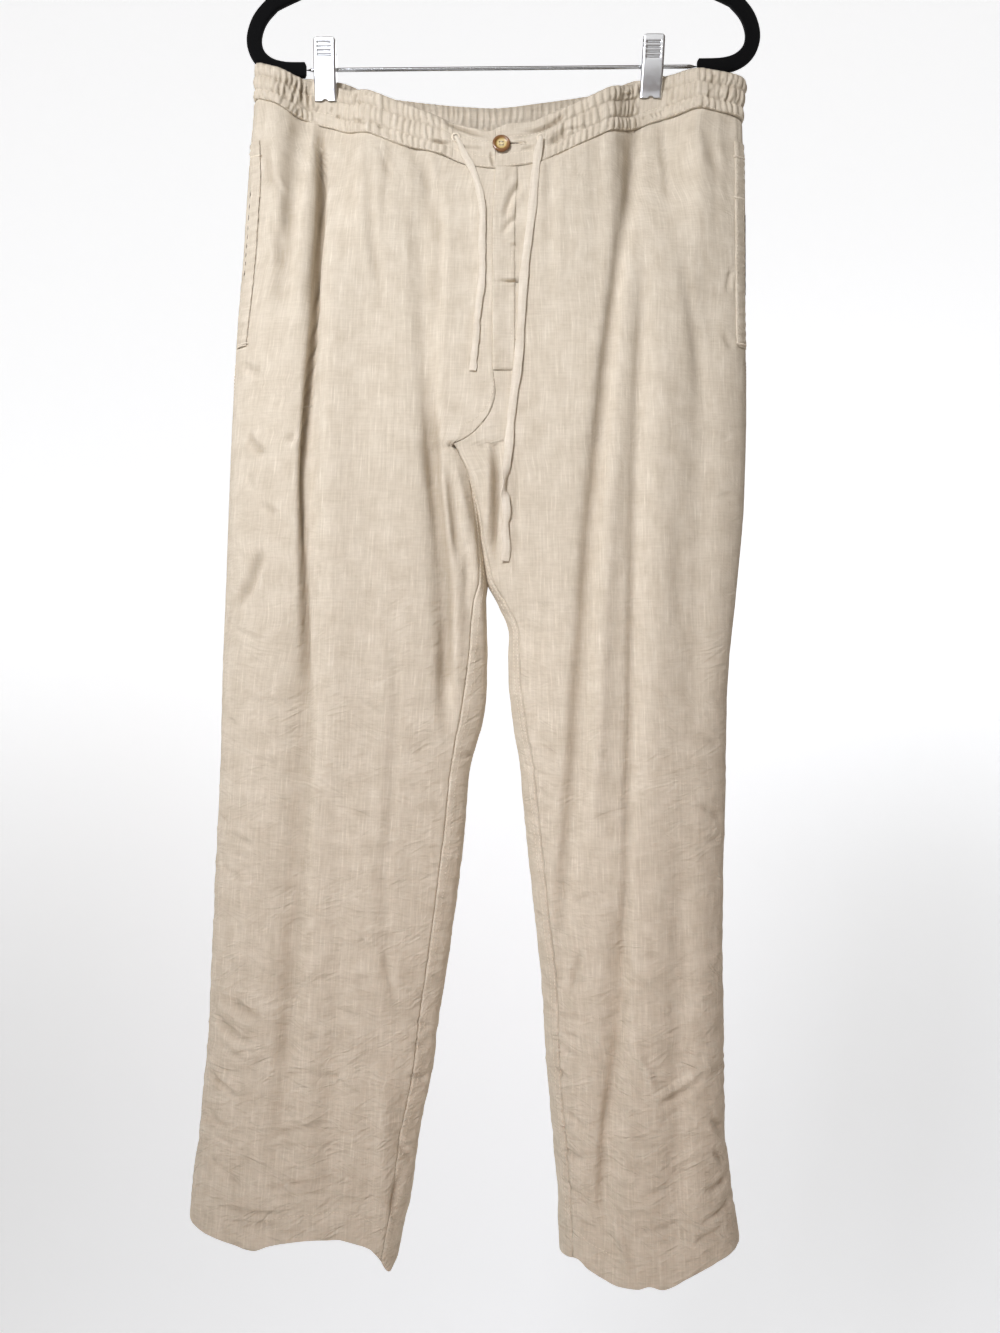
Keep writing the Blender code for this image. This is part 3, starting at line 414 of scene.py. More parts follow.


# %% [markdown]
# ## The drawstring
#
# The drawstring is a strip of the same linen, folded lengthwise and stitched to about 7 mm wide. It
# comes out of an eyelet on each side of the button, where it is gathered to half its width, and
# hangs down over the front. The left tail turns over once on its way. A flat tube along the
# listed route keeps the true length, and its section can narrow, thicken and turn on the way.

# %% Drawstring
Route = namedtuple("Route", "x y level")
TAIL_RIGHT = [Route(*row) for row in (
    (-40.1, -28.5, 71.7), (-36.5, -29.2, 79), (-33, -29.4, 87), (-26.6, -30.3, 99.5), (-22.5, -31.2, 111),
    (-18.8, -32.4, 126), (-17.4, -33.6, 142), (-18, -34.8, 161), (-17.6, -35.9, 180), (-18.4, -36.8, 199),
    (-20.6, -37.5, 216), (-22.2, -37.9, 232), (-23.2, -38.3, 247), (-24.8, -38.4, 262), (-25.6, -38.3, 272),
)]
TAIL_LEFT = [Route(*row) for row in (
    (31.4, -28.5, 72.2), (30.2, -29.2, 80), (28, -29.8, 92), (26, -31, 108), (24.4, -32.5, 127),
    (22.4, -33.9, 146), (20, -35.4, 166), (17.4, -36.4, 187), (15.8, -37, 208), (14.8, -37.3, 228),
    (13.4, -37.6, 249), (11.6, -38.4, 268), (9.6, -38.2, 284), (7, -38.3, 303), (5.2, -38.6, 322),
    (3.6, -38.7, 341), (1.4, -38.3, 358), (0.4, -37.3, 370), (2, -35.8, 381), (2.2, -33.6, 394),
    (1.2, -31.8, 406), (2.2, -30.2, 417), (1, -28.2, 429),
)]
TAPE_THICKNESS = 1.7
TAPE_PINCH = 0.5        # share of its width where it leaves the eyelet
TAPE_OPENS = 30.0       # and how far below it the tape has its whole width
TAPE_END = 0.8          # radius of its cut ends
RIGHT_WIDTH, LEFT_WIDTH = 5.8, 7.0
TURNS_OVER = 0.755      # share of the left tail above the place where it turns over
NO_TURN = -1.0


def tape(name, node, tail, tape_width, turn_at_share, pinches):
    """One tail of the drawstring. turn_at_share is where along it the tape turns over, if at all, and
    pinches lists (share, how much narrower) where it is crumpled."""
    line = smooth_route([(p.x, p.y, float(height(p.level))) for p in tail], 12 * len(tail))
    length = line_length(line)

    def outline(angle, share):
        width = tape_width * (TAPE_PINCH + (1 - TAPE_PINCH) * fade(0.0, TAPE_OPENS, share * length))
        width = width * (1 + 0.07 * np.sin(share * 41.0) + 0.05 * np.sin(share * 97.0 + 1.0))
        width = width * (1 - 0.40 * bell(share - turn_at_share, 0.02))
        width = width * (1 - sum(narrower * bell(share - at, 0.012) for at, narrower in pinches))
        end = np.minimum(share, 1 - share) * length
        rounded = np.sqrt(np.clip(1 - (1 - end / TAPE_END) ** 2, 0.04, 1.0))
        rounded = np.where(end > TAPE_END, 1.0, rounded)
        side = np.sign(np.cos(angle)) * np.abs(np.cos(angle)) ** 0.55 * width / 2
        fold = 0.25 * np.sin(2 * math.pi * side / width + 0.9) - 0.5 * bell(side / width - 0.3, 0.07)
        out = (np.sign(np.sin(angle)) * np.abs(np.sin(angle)) ** 0.7 * TAPE_THICKNESS / 2 + fold) * rounded
        bend = 1.15 * bell(share - turn_at_share, 0.035)
        return side * np.cos(bend) - out * np.sin(bend), side * np.sin(bend) + out * np.cos(bend)

    made = put_in_scene(name, swept(name, line, outline, 28), tape_linen)
    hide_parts(node)
    print(name, "is", round(length), "mm long")
    return made


tape("tape_tail_right", "drawstring_right", TAIL_RIGHT, RIGHT_WIDTH, NO_TURN,
     [(0.78, 0.35), (0.45, 0.12), (0.93, 0.15)])
tape("tape_tail_left", "drawstring_left", TAIL_LEFT, LEFT_WIDTH, TURNS_OVER,
     [(0.875, 0.30), (0.62, 0.14), (0.40, 0.10)])

# %% [markdown]
# ## The hanging form
#
# Each leg is a flattened tube, given by the line of its side edge, its inner edge, and how deep it
# is in front and behind. Each table's rows are read by the names of its columns. The same form is
# under the solid model, so the fine cloth lies on it everywhere. Folds are soft troughs that run
# down the leg; a negative depth makes a ridge.

# %% Outline tables
Edge = namedtuple("Edge", "level x")
Depth = namedtuple("Depth", "level front back fullness")
Setback = namedtuple("Setback", "level inset")
Height = namedtuple("Height", "x level")
Fold = namedtuple("Fold", "x_top x_bottom top bottom depth width")
Leg = namedtuple("Leg", "side inner depth inseam pocket front_folds back_folds hem_front hem_back")

PINCHED = 2.2           # depth of one layer of the waistband where a clip grips it
LEG_GAP = 0.6
PRESSED = 2.2           # the legs overlap by this much where they touch below the crotch
TOUCHING_TO, APART_FROM = 445.0, 462.0
LAP = 1.0               # the left front reaches this far over the right one at the centre
LAP_FROM, LAP_WHOLE = 95.0, 105.0
CLIP_RIGHT_X = -153.6
CLIP_LEFT_X = 128.2
GRIP_NEAR, GRIP_FAR = 11.0, 42.0        # aside of a clip, where its grip starts to fade and is gone
GRIP_TOP, GRIP_BOTTOM = 30.0, 190.0     # and the same down the cloth
CROTCH_LEVEL = 332.0
WAIST_LEVEL, HEM_LEVEL = 60.0, 1005.0   # where x is taken for the tables of the band and the hem
FORK_HEIGHT = 62.0      # of the curve in which the two fronts part above the crotch
SHARP_FORK = 0.04       # share of its roundness that the inner edge keeps at the crotch
ROUND_BELOW = 150.0     # and how far below it the edge is round again
CENTRE_LEAN = 3.5       # how far the flat centre front's top edge leans back

RIGHT_SIDE = [Edge(*row) for row in (
    (-6, -214), (35, -213.7), (61, -216.3), (113, -220.7), (165, -224.1), (217, -228.5), (295, -233.7),
    (373, -237.1), (451, -239.7), (529, -243.2), (607, -245.2), (685, -249.3), (763, -252.7), (841, -256.2),
    (893, -260.5), (945, -266.6), (993, -271.8), (1060, -273),
)]
CENTRE_EDGE = [Edge(*row) for row in (
    (-6, -6.5), (105, -6.5), (150, -8.6), (265, -8.6), (289, -6.8), (298, -8.4), (308, -12.7), (316.5, -19),
    (325, -27.5), (329.5, -36), (332, -42), (336, -38.5), (358, -28), (390, -20.5), (411, -18),
)]
RIGHT_INNER = CENTRE_EDGE + [Edge(*row) for row in (
    (440, -14.5), (473, -13.2), (502, -12.5), (536, -13.4), (563, -16.4), (582, -22), (610, -29.3),
    (659, -33.5), (711, -39.4), (763, -46.4), (815, -54.2), (867, -61.1), (919, -72), (971, -79),
    (1010, -86.5), (1040, -92), (1060, -93),
)]
LEFT_SIDE = [Edge(*row) for row in (
    (-6, 208), (12, 208.6), (42, 206), (113, 208.5), (199, 208.4), (295, 209.4), (373, 207.8), (451, 201.8),
    (529, 194.8), (607, 192), (685, 189.4), (763, 188.6), (841, 190), (919, 191.4), (945, 194.6),
    (971, 198.1), (1012, 204.2), (1060, 206),
)]
LEFT_INNER = CENTRE_EDGE + [Edge(*row) for row in (
    (440, -14), (454, -9.5), (468, -3), (480, 2.6), (490, 4.8), (508, 4), (529, 4.4), (555, 7), (581, 10.5),
    (605, 14.5), (633, 16.8), (711, 24.7), (789, 32.5), (867, 36.8), (919, 42), (971, 46.4), (1020, 48.1),
    (1060, 49),
)]
WAIST_DEPTH = [Depth(*row) for row in (
    (-6, 17, 15, 0.62), (35, 21, 19, 0.62), (113, 30, 28, 0.66), (217, 36, 34, 0.7),
)]
RIGHT_DEPTH = WAIST_DEPTH + [Depth(*row) for row in (
    (323, 38, 36, 0.75), (460, 33, 31, 0.78), (607, 27, 25, 0.78), (763, 25, 23, 0.78), (900, 26, 22, 0.78),
    (1010, 28, 22, 0.8), (1060, 28, 22, 0.8),
)]
LEFT_DEPTH = WAIST_DEPTH + [Depth(*row) for row in (
    (323, 37, 36, 0.75), (460, 36, 32, 0.8), (607, 39, 34, 0.86), (763, 40, 35, 0.9), (900, 42, 36, 0.92),
    (1010, 44, 38, 0.92), (1060, 44, 38, 0.92),
)]
RIGHT_INSEAM = [Setback(*row) for row in (
    (332, 0), (360, 2.5), (400, 5.5), (500, 15), (563, 20), (610, 15.5), (700, 17), (850, 16), (1010, 14),
)]
LEFT_INSEAM = [Setback(*row) for row in (
    (332, 0), (400, 3), (546, 10), (780, 12), (1020, 10),
)]
RIGHT_POCKET = [Setback(70, 0.0), Setback(110, 5.0), Setback(190, 5.0), Setback(300, 0.0)]
LEFT_POCKET = [Setback(70, 0.0), Setback(120, 2.0), Setback(200, 2.0), Setback(300, 0.0)]

FRONT_TOP = [Height(*row) for row in (
    (-214, -3), (-194, 5), (-177, 10), (-156, 12), (-127, 24), (-110, 30.5), (-94, 37), (-76, 44),
    (-57, 51), (-40, 58), (-22, 63), (-11, 64.5), (-4, 61), (4, 58), (24, 56), (36, 50.5), (50, 45),
    (72, 35), (101, 20), (129, 7.5), (152, 6.5), (181, 9), (208, 11),
)]
FRONT_SEAM = [Height(*row) for row in (
    (-214, 30), (-200, 36), (-181, 45), (-162, 49.5), (-146, 53.5), (-129, 61.5), (-106, 70.5), (-83, 79.5),
    (-55, 86), (-27, 97), (-8, 99), (10, 97), (24, 95), (46, 86.6), (72, 74), (101, 60), (118, 52),
    (129, 47.5), (145, 43.5), (167, 42.5), (180, 44.5), (207, 47),
)]
BACK_TOP = [Height(*row) for row in (
    (-214, -3), (-190, 4), (-146, 10.4), (-86, 18.5), (-40, 23), (-10, 24.5), (35, 20), (68, 15.5),
    (119, 9), (165, 8), (208, 11),
)]
BACK_SEAM = [Height(*row) for row in (
    (-214, 30), (-190, 42), (-146, 49), (-86, 57.5), (-40, 62), (-10, 63.5), (35, 59.5), (68, 55),
    (119, 48.5), (165, 46), (207, 47),
)]
RIGHT_HEM_FRONT = [Height(*row) for row in (
    (-272, 985), (-268, 992), (-247, 1000.5), (-229, 1005), (-211, 1009), (-198, 1004.6), (-160, 1000),
    (-143, 1000), (-125, 1004.5), (-113, 1010), (-102, 1020.5), (-91, 1034.5), (-86, 1026),
)]
RIGHT_HEM_BACK = [Height(*row) for row in (
    (-272, 985), (-268, 992), (-235, 1003), (-180, 1006), (-125, 1008), (-113, 1011), (-102, 1020.5),
    (-91, 1034.5), (-86, 1026),
)]
LEFT_HEM_FRONT = [Height(*row) for row in (
    (48, 1019), (62, 1015), (71, 1021), (83, 1026), (95, 1030.5), (109, 1031), (119, 1028.5), (130, 1031.5),
    (139, 1029.5), (150, 1024), (161, 1020), (179, 1014), (200, 1009), (204, 1006),
)]
LEFT_HEM_BACK = [Height(*row) for row in (
    (48, 1019), (62, 1015.5), (80, 1023), (125, 1034), (170, 1018), (200, 1009), (204, 1006),
)]
RIGHT_FRONT_FOLDS = [Fold(*row) for row in (
    (-152, -163, -60, 470, 10, 7), (-163, -190, 380, 1000, 6, 12), (-186, -190, 25, 170, -4, 11),
    (-72, -60, 90, 400, 5, 9), (-62, -46, 300, 600, 7, 7), (-136, -148, 560, 1030, 4.5, 12),
    (-98, -101, 850, 1040, -7, 10),
)]
RIGHT_BACK_FOLDS = [Fold(*row) for row in (
    (-152, -160, 20, 430, 11, 11), (-80, -96, 90, 480, 5, 15), (-196, -206, 300, 780, 5, 12),
    (-128, -150, 520, 1020, 6, 13), (-212, -226, 760, 1030, 4, 10),
)]
LEFT_FRONT_FOLDS = [Fold(*row) for row in (
    (117, 77, 30, 400, 6, 10), (83, 47, 280, 800, 6, 10), (119, 102, 130, 740, 4.5, 9),
    (104, 79, 680, 1045, 8, 10), (170, 160, 150, 620, 4, 14), (150, 142, 640, 1040, 4.5, 12),
)]
LEFT_BACK_FOLDS = [Fold(*row) for row in (
    (132, 124, 20, 430, 11, 11), (60, 74, 90, 500, 5, 15), (168, 158, 280, 760, 6, 12),
    (92, 104, 460, 1020, 7, 12), (150, 160, 720, 1040, 5, 10),
)]
RIGHT = Leg(RIGHT_SIDE, RIGHT_INNER, RIGHT_DEPTH, RIGHT_INSEAM, RIGHT_POCKET,
            RIGHT_FRONT_FOLDS, RIGHT_BACK_FOLDS, RIGHT_HEM_FRONT, RIGHT_HEM_BACK)
LEFT = Leg(LEFT_SIDE, LEFT_INNER, LEFT_DEPTH, LEFT_INSEAM, LEFT_POCKET,
           LEFT_FRONT_FOLDS, LEFT_BACK_FOLDS, LEFT_HEM_FRONT, LEFT_HEM_BACK)
print("side seams are", len(RIGHT_SIDE), "and", len(LEFT_SIDE), "places long")


# %% [markdown]
# A turn is the way round a leg: 0 at the side edge, pi at the inner edge after passing the front,
# and 2 pi back at the side edge after passing the back. `form_point` gives the place on the form,
# the direction along the cloth there, and how many millimetres of cloth one turn unit takes.

# %% The form
def fold_depth(folds, x, level):
    """How far the folds draw the cloth in at a place."""
    total = np.zeros(np.broadcast(x, level).shape)
    for fold in folds:
        along = (level - fold.top) / (fold.bottom - fold.top)
        centre = fold.x_top + (fold.x_bottom - fold.x_top) * along
        ends = fade(0.0, 0.22, along) * (1 - fade(0.72, 1.0, along))
        total += fold.depth * ends * bell(x - centre, fold.width)
    return total


def clip_grip(x, level):
    """1 where a clip presses the two layers together, falling to 0 around it."""
    reach = np.minimum(np.abs(x - CLIP_RIGHT_X), np.abs(x - CLIP_LEFT_X))
    across = 1 - fade(GRIP_NEAR, GRIP_FAR, reach)
    return across * (1 - fade(GRIP_TOP, GRIP_BOTTOM, level))


def fork_share(level):
    """1 where the fronts meet at a centre seam, falling to 0 at the crotch, where the legs part."""
    below = np.clip((level - (CROTCH_LEVEL - FORK_HEIGHT)) / FORK_HEIGHT, 0.0, 1.0)
    return np.sqrt(1 - below ** 2)


def spread(turn, level):
    """How far from the side edge (0) to the inner edge (1) a turn lies."""
    rounded = (1 - np.cos(turn)) / 2
    straight = 1 - np.abs(turn - math.pi) / math.pi
    fork = fork_share(level)
    return np.where(rounded > 0.5, fork * straight + (1 - fork) * rounded, rounded)


def edges(leg, level):
    """The side edge and the inner edge of a leg. The left front laps over the right one at the centre,
    and the legs touch below the crotch before they part."""
    apart = LEG_GAP * fade(CROTCH_LEVEL - 12, CROTCH_LEVEL + 12, level)
    below = 1 - fade(TOUCHING_TO, APART_FROM, level)
    apart = apart - PRESSED * fade(CROTCH_LEVEL, CROTCH_LEVEL + 10, level) * below
    if leg is LEFT:
        above = 1 - fade(CROTCH_LEVEL - 4, CROTCH_LEVEL, level)
        apart = apart - LAP * fade(LAP_FROM, LAP_WHOLE, level) * above
    return follow(leg.side, level), follow(leg.inner, level) + (-apart if leg is RIGHT else apart)


def section(leg, turn, level, on_back):
    """x and y of a leg's form at a turn and level, and 1 where it lies behind."""
    behind = (turn > math.pi + (-1e-6 if on_back else 1e-6)) & (turn < 2 * math.pi)
    side, inner = edges(leg, level)
    x = side + (inner - side) * spread(turn, level)
    inner_half = np.cos(turn) < 0
    start = CROTCH_LEVEL - (30 if leg is RIGHT else 6)
    rounding = SHARP_FORK + (1 - SHARP_FORK) * fade(start, CROTCH_LEVEL + ROUND_BELOW, level)
    fullness = follow(leg.depth, level, 3) * np.where(inner_half, rounding, 1.0)
    arch = np.maximum(np.abs(np.sin(turn)), 1e-9) ** fullness
    fork = fork_share(level) ** 0.06
    arch = np.where(inner_half, fork + (1 - fork) * arch, arch)
    depth = np.where(behind, follow(leg.depth, level, 2), follow(leg.depth, level, 1)) * arch
    grip = clip_grip(x, level)
    depth = depth * (1 - grip) + PINCHED * grip * np.minimum(1.0, 3 * arch)
    folds = np.where(behind, fold_depth(leg.back_folds, x, level), fold_depth(leg.front_folds, x, level))
    depth = np.maximum(depth - folds * (1 - grip) * arch, PINCHED * np.minimum(1.0, 3 * arch))
    return x, np.where(behind, depth, -depth), behind


def form_point(leg, turn, level, on_back, lowest, highest):
    """Place, unit vector outwards, and millimetres of cloth for one unit of turn."""
    step = 0.004
    x, y, behind = section(leg, turn, level, on_back)
    low = np.maximum(turn - step, lowest)
    high = np.minimum(turn + step, highest)
    before = section(leg, low, level, on_back)
    after = section(leg, high, level, on_back)
    dx = after[0] - before[0]
    dy = after[1] - before[1]
    run = np.maximum(np.hypot(dx, dy), 1e-9)
    way = 1.0 if leg is RIGHT else -1.0
    return x, y, way * dy / run, -way * dx / run, run / (high - low), behind


def between(leg, level, turn):
    """The x of a turn at a level, before any folds."""
    side, inner = edges(leg, np.full_like(turn, level))
    return side + (inner - side) * spread(turn, np.full_like(turn, level))


def turn_limits(leg, level, on_back):
    """Where a panel starts and ends round the leg, at a level."""
    side, inner = edges(leg, level)
    width = np.abs(inner - side)
    inseam = np.arccos(1 - 2 * follow(leg.inseam, level) / width)
    pocket = np.arccos(1 - 2 * follow(leg.pocket, level) / width)
    if on_back:
        return math.pi - inseam, 2 * math.pi + pocket
    return pocket, math.pi - inseam


def turn_at(leg, x, level):
    """The turn over the front at which a leg's section passes a place."""
    side, inner = edges(leg, level)
    wanted = np.clip((x - side) / (inner - side), 0.0, 1.0)
    low, high = np.zeros_like(wanted), np.full_like(wanted, math.pi)
    for _ in range(40):
        middle = (low + high) / 2
        short = spread(middle, level) < wanted
        low, high = np.where(short, middle, low), np.where(short, high, middle)
    return (low + high) / 2


# %% [markdown]
# ## Creases
#
# Washed linen keeps every crease it is given. The long pleats hang from the clips and the crotch.
# Short creases collect at the pocket bags, behind the knee, where the inseam puckers, and above the
# hems, where the trousers were folded and worn. Each has its own length, depth and bow. A pleat is
# a line of (level, x) places; a crease runs from one place to another. On the back, where the same
# things happen to the cloth, each leg takes the other leg's set, carried over to its own width.

# %% Pleats and creases
Pleat = namedtuple("Pleat", "depth width line")
Crease = namedtuple("Crease", "x_start level_start x_end level_end bow depth width")

RIGHT_PLEATS = [Pleat(*row) for row in (
    (6.5, 3, [(57, -158), (126, -155), (210, -157), (294, -163), (378, -167), (480, -167), (560, -168)]),
    (1.8, 6, [(440, -167), (545, -167), (629, -169), (713, -174), (797, -181), (906, -190)]),
    (-5.5, 6.5, [(40, -163), (101, -167), (143, -167), (176, -168), (250, -172)]),
    (2.4, 5, [(92, -179), (134, -181), (168, -185), (193, -189), (240, -193)]),
    (2.2, 6, [(84, -76), (117, -63), (159, -57), (210, -58), (268, -61)]),
    (4, 5, [(243, -59), (294, -61), (361, -57), (411, -51), (461, -47), (512, -48), (579, -53)]),
    (1.6, 4, [(80, -116), (117, -114), (159, -110), (218, -103)]),
    (1.2, 2.5, [(84, -103), (96, -99), (109, -93)]),
    (-2, 12, [(109, -141), (294, -146), (461, -144), (629, -141), (797, -146), (881, -152)]),
    (1.2, 5, [(453, -104), (503, -94), (545, -91), (596, -94), (654, -97), (705, -102), (755, -100),
        (797, -94), (847, -89)]),
    (4.5, 4, [(334, -50), (352, -47), (386, -42), (436, -37)]),
    (-4, 6, [(337, -43), (369, -36), (411, -28), (461, -21), (512, -16)]),
    (2, 3, [(390, -32), (428, -30), (461, -29)]),
    (2.2, 3.5, [(144, -191), (164, -190), (186, -187)]),
    (2, 3, [(84, -201), (105, -198), (119, -198)]),
)]
LEFT_PLEATS = [Pleat(*row) for row in (
    (1.8, 5, [(57, 115), (101, 109), (151, 101), (210, 93), (277, 83), (344, 78), (411, 71), (478, 67),
        (545, 62), (612, 58), (680, 52), (747, 46), (805, 39)]),
    (-3, 6, [(109, 111), (185, 104), (277, 96), (378, 89), (478, 83), (596, 78), (671, 73)]),
    (1.8, 3.5, [(159, 119), (243, 114), (310, 111), (378, 109), (461, 108), (545, 107), (629, 104),
        (713, 102), (797, 99), (864, 91), (914, 84), (990, 81)]),
    (2.6, 2.6, [(52, 135), (84, 138), (130, 141)]),
    (1.5, 5, [(155, 145), (210, 155), (260, 163), (319, 166)]),
    (1, 6, [(361, 144), (428, 146), (512, 147)]),
    (2, 5, [(57, 168), (80, 175), (101, 181)]),
    (-1.5, 14, [(210, 127), (378, 127), (545, 125), (713, 123)]),
    (2, 3, [(745, 65), (772, 61), (799, 55)]),
    (1.5, 3, [(327, 14), (394, 10), (461, 10)]),
    (6.5, 3.2, [(318, -9), (360, -6.4), (380, -6.9), (396, -8.1), (419, -9.7), (442, -11)]),
)]
RIGHT_CREASES = [Crease(*row) for row in (
    (-203, 415, -230, 471, -4.2, 3.5, 4.5), (-215, 319, -196, 341, 3.4, 3, 3.5),
    (-184, 328, -172, 325, 0.8, 2.2, 3), (-221, 262, -201, 271, 0.8, 2.6, 3),
    (-207, 376, -184, 392, 1.7, 1.8, 3), (-216, 352, -208, 371, 0, 1.6, 2.5),
    (-232, 485, -205, 496, -1.7, 1.6, 2.2), (-221, 543, -167, 545, 1.7, 1.2, 1.6),
    (-237, 561, -226, 565, 0, 1.4, 1.8), (-237, 580, -223, 581, 0, 1, 1.8),
    (-218, 591, -184, 598, 1.7, 1.4, 1.8), (-237, 659, -209, 670, -1.7, 1.6, 2.4),
    (-231, 675, -212, 678, 0, 1.2, 1.8), (-242, 686, -219, 698, 0.8, 1.3, 2.2),
    (-250, 800, -201, 825, 2.5, -2.2, 3), (-231, 799, -204, 815, 2.5, 1.8, 3),
    (-248, 814, -209, 836, 3.4, 2, 3), (-244, 837, -217, 852, 0, 1.2, 2), (-214, 852, -198, 847, 0, 1, 1.6),
    (-252, 856, -224, 878, 0, -1.5, 2), (-251, 866, -221, 884, 0, 1.5, 2),
    (-198, 916, -140, 902, -2.5, 1.3, 2.2), (-214, 925, -110, 920, -6.7, -1.2, 2.2),
    (-210, 962, -148, 952, -2.5, 1.6, 2.2), (-206, 965, -102, 975, -13.4, -1.5, 2.2),
    (-246, 972, -169, 973, 5.9, 1.6, 2.4), (-242, 983, -171, 983, 4.2, 1.2, 2),
    (-129, 732, -101, 761, 0, -1.3, 1.6), (-101, 755, -92, 800, 1.7, 1, 2),
    (-219, 758, -182, 783, 0, -1, 1.4), (-157, 846, -106, 882, 2.5, -1, 1.8),
    (-171, 831, -137, 827, 0.8, 0.9, 1.8), (-58, 713, -43, 719, -0.8, 1.4, 1.8),
    (-67, 765, -46, 770, 0.8, -1.4, 2), (-76, 792, -58, 803, 0, 1.4, 1.8),
    (-80, 817, -61, 823, 0, 1.4, 1.8), (-80, 837, -63, 841, 0.8, 1.2, 1.6),
    (-84, 864, -64, 869, 1.7, 1.5, 1.8), (-42, 594, -21, 592, 0.8, 1.8, 1.8),
    (-90, 921, -73, 946, 1.7, 1.6, 2.2), (-88, 948, -94, 988, 1.7, 1.6, 2.4),
    (-252, 898, -231, 910, 0.8, 1.4, 2), (-250, 914, -221, 923, 0, 1.2, 1.8),
    (-254, 931, -219, 955, 1.7, 1.2, 1.8), (-125, 541, -94, 558, 1.7, 0.8, 1.8),
    (-127, 570, -91, 586, 1.7, 0.8, 1.8), (-110, 210, -94, 220, 1.7, 0.7, 2),
    (-198, 105, -184, 121, 0, 0.9, 2), (-193, 101, -177, 124, 0, -1.2, 2.4),
    (-185, 799, -171, 797, 0, 0.8, 1.6), (-171, 857, -133, 866, 1.7, 1, 2),
    (-183, 874, -161, 871, 0, 1, 1.8),
)]
LEFT_CREASES = [Crease(*row) for row in (
    (17, 108, -1, 147, 2.5, 3.4, 3), (13, 140, -4, 160, 1.5, 2.2, 2.5), (4, 167, 17, 164, 0, 1.6, 1.6),
    (-19, 197.8, 24, 195.5, 0, 5, 1.3), (58, 92, 74, 117, 1.7, 1, 1.6), (46, 82, 52, 99, 0, 1, 1.6),
    (194, 178, 189, 203, 0.8, 1.6, 2), (185, 235, 196, 250, 0.8, 1.6, 2.5), (180, 319, 193, 325, 0, 1, 2),
    (197, 371, 178, 375, 0.8, 1.2, 2.4), (166, 577, 185, 588, -1.7, 1.4, 2.4),
    (165, 636, 187, 648, -1.7, 1.6, 2.6), (168, 664, 187, 661, 0.8, 1.2, 2),
    (9, 583, 49, 587, 1.7, 1.1, 1.8), (14, 597, 41, 611, 0, 1.2, 1.8), (24, 619, 49, 631, 0.8, 1.2, 1.8),
    (17, 639, 44, 651, 0.8, 1, 1.8), (22, 661, 41, 664, 0, 1, 1.6), (27, 681, 44, 686, 0, 1, 1.6),
    (55, 718, 78, 706, -1.7, 1.4, 1.8), (41, 807, 71, 812, 1.7, 1.3, 1.8),
    (44, 822, 73, 829, 1.7, 1.3, 1.8), (46, 836, 67, 844, 0.8, 1.2, 1.8), (42, 856, 56, 866, 0, 1.4, 2),
    (100, 826, 126, 875, -4.2, -1.6, 2.2), (123, 875, 170, 853, 1.7, -1.6, 2.2),
    (125, 881, 165, 866, 1.7, 1.4, 2.4), (135, 940, 166, 922, 1.7, 1.4, 2),
    (114, 951, 145, 948, 1.7, 1.2, 2), (91, 884, 116, 888, 0.8, 0.9, 1.6), (96, 904, 125, 909, 0.8, 1, 1.6),
    (94, 925, 131, 931, 1.7, 1, 1.6), (91, 945, 114, 948, 0.8, 1, 1.6), (91, 968, 141, 965, 2.5, 1.2, 1.8),
    (104, 982, 151, 977, 2.5, 1.2, 1.8), (85, 963, 103, 1022, -2.5, -1.6, 2.2),
    (172, 896, 188, 908, 0.8, 1.8, 2.6), (175, 923, 190, 938, 0.8, 1.6, 2.4),
    (165, 956, 192, 948, 1.7, 1.6, 2.4), (160, 980, 195, 968, 1.7, 1.4, 2),
    (153, 995, 190, 983, 1.7, 1.2, 2), (52, 889, 73, 906, 0.8, 1.4, 2), (49, 923, 69, 931, 0.8, 1.4, 2),
    (52, 953, 74, 965, 0.8, 1.4, 2), (56, 977, 81, 988, 0.8, 1.4, 2), (14, 485, 60, 488, 0.8, 0.9, 1.6),
    (17, 461, 52, 465, 0.8, 0.8, 1.6), (-6, 275, -13, 315, 3.4, -1.4, 2.6),
    (-27, 329, -11, 336, 1.7, 0.7, 3),
)]
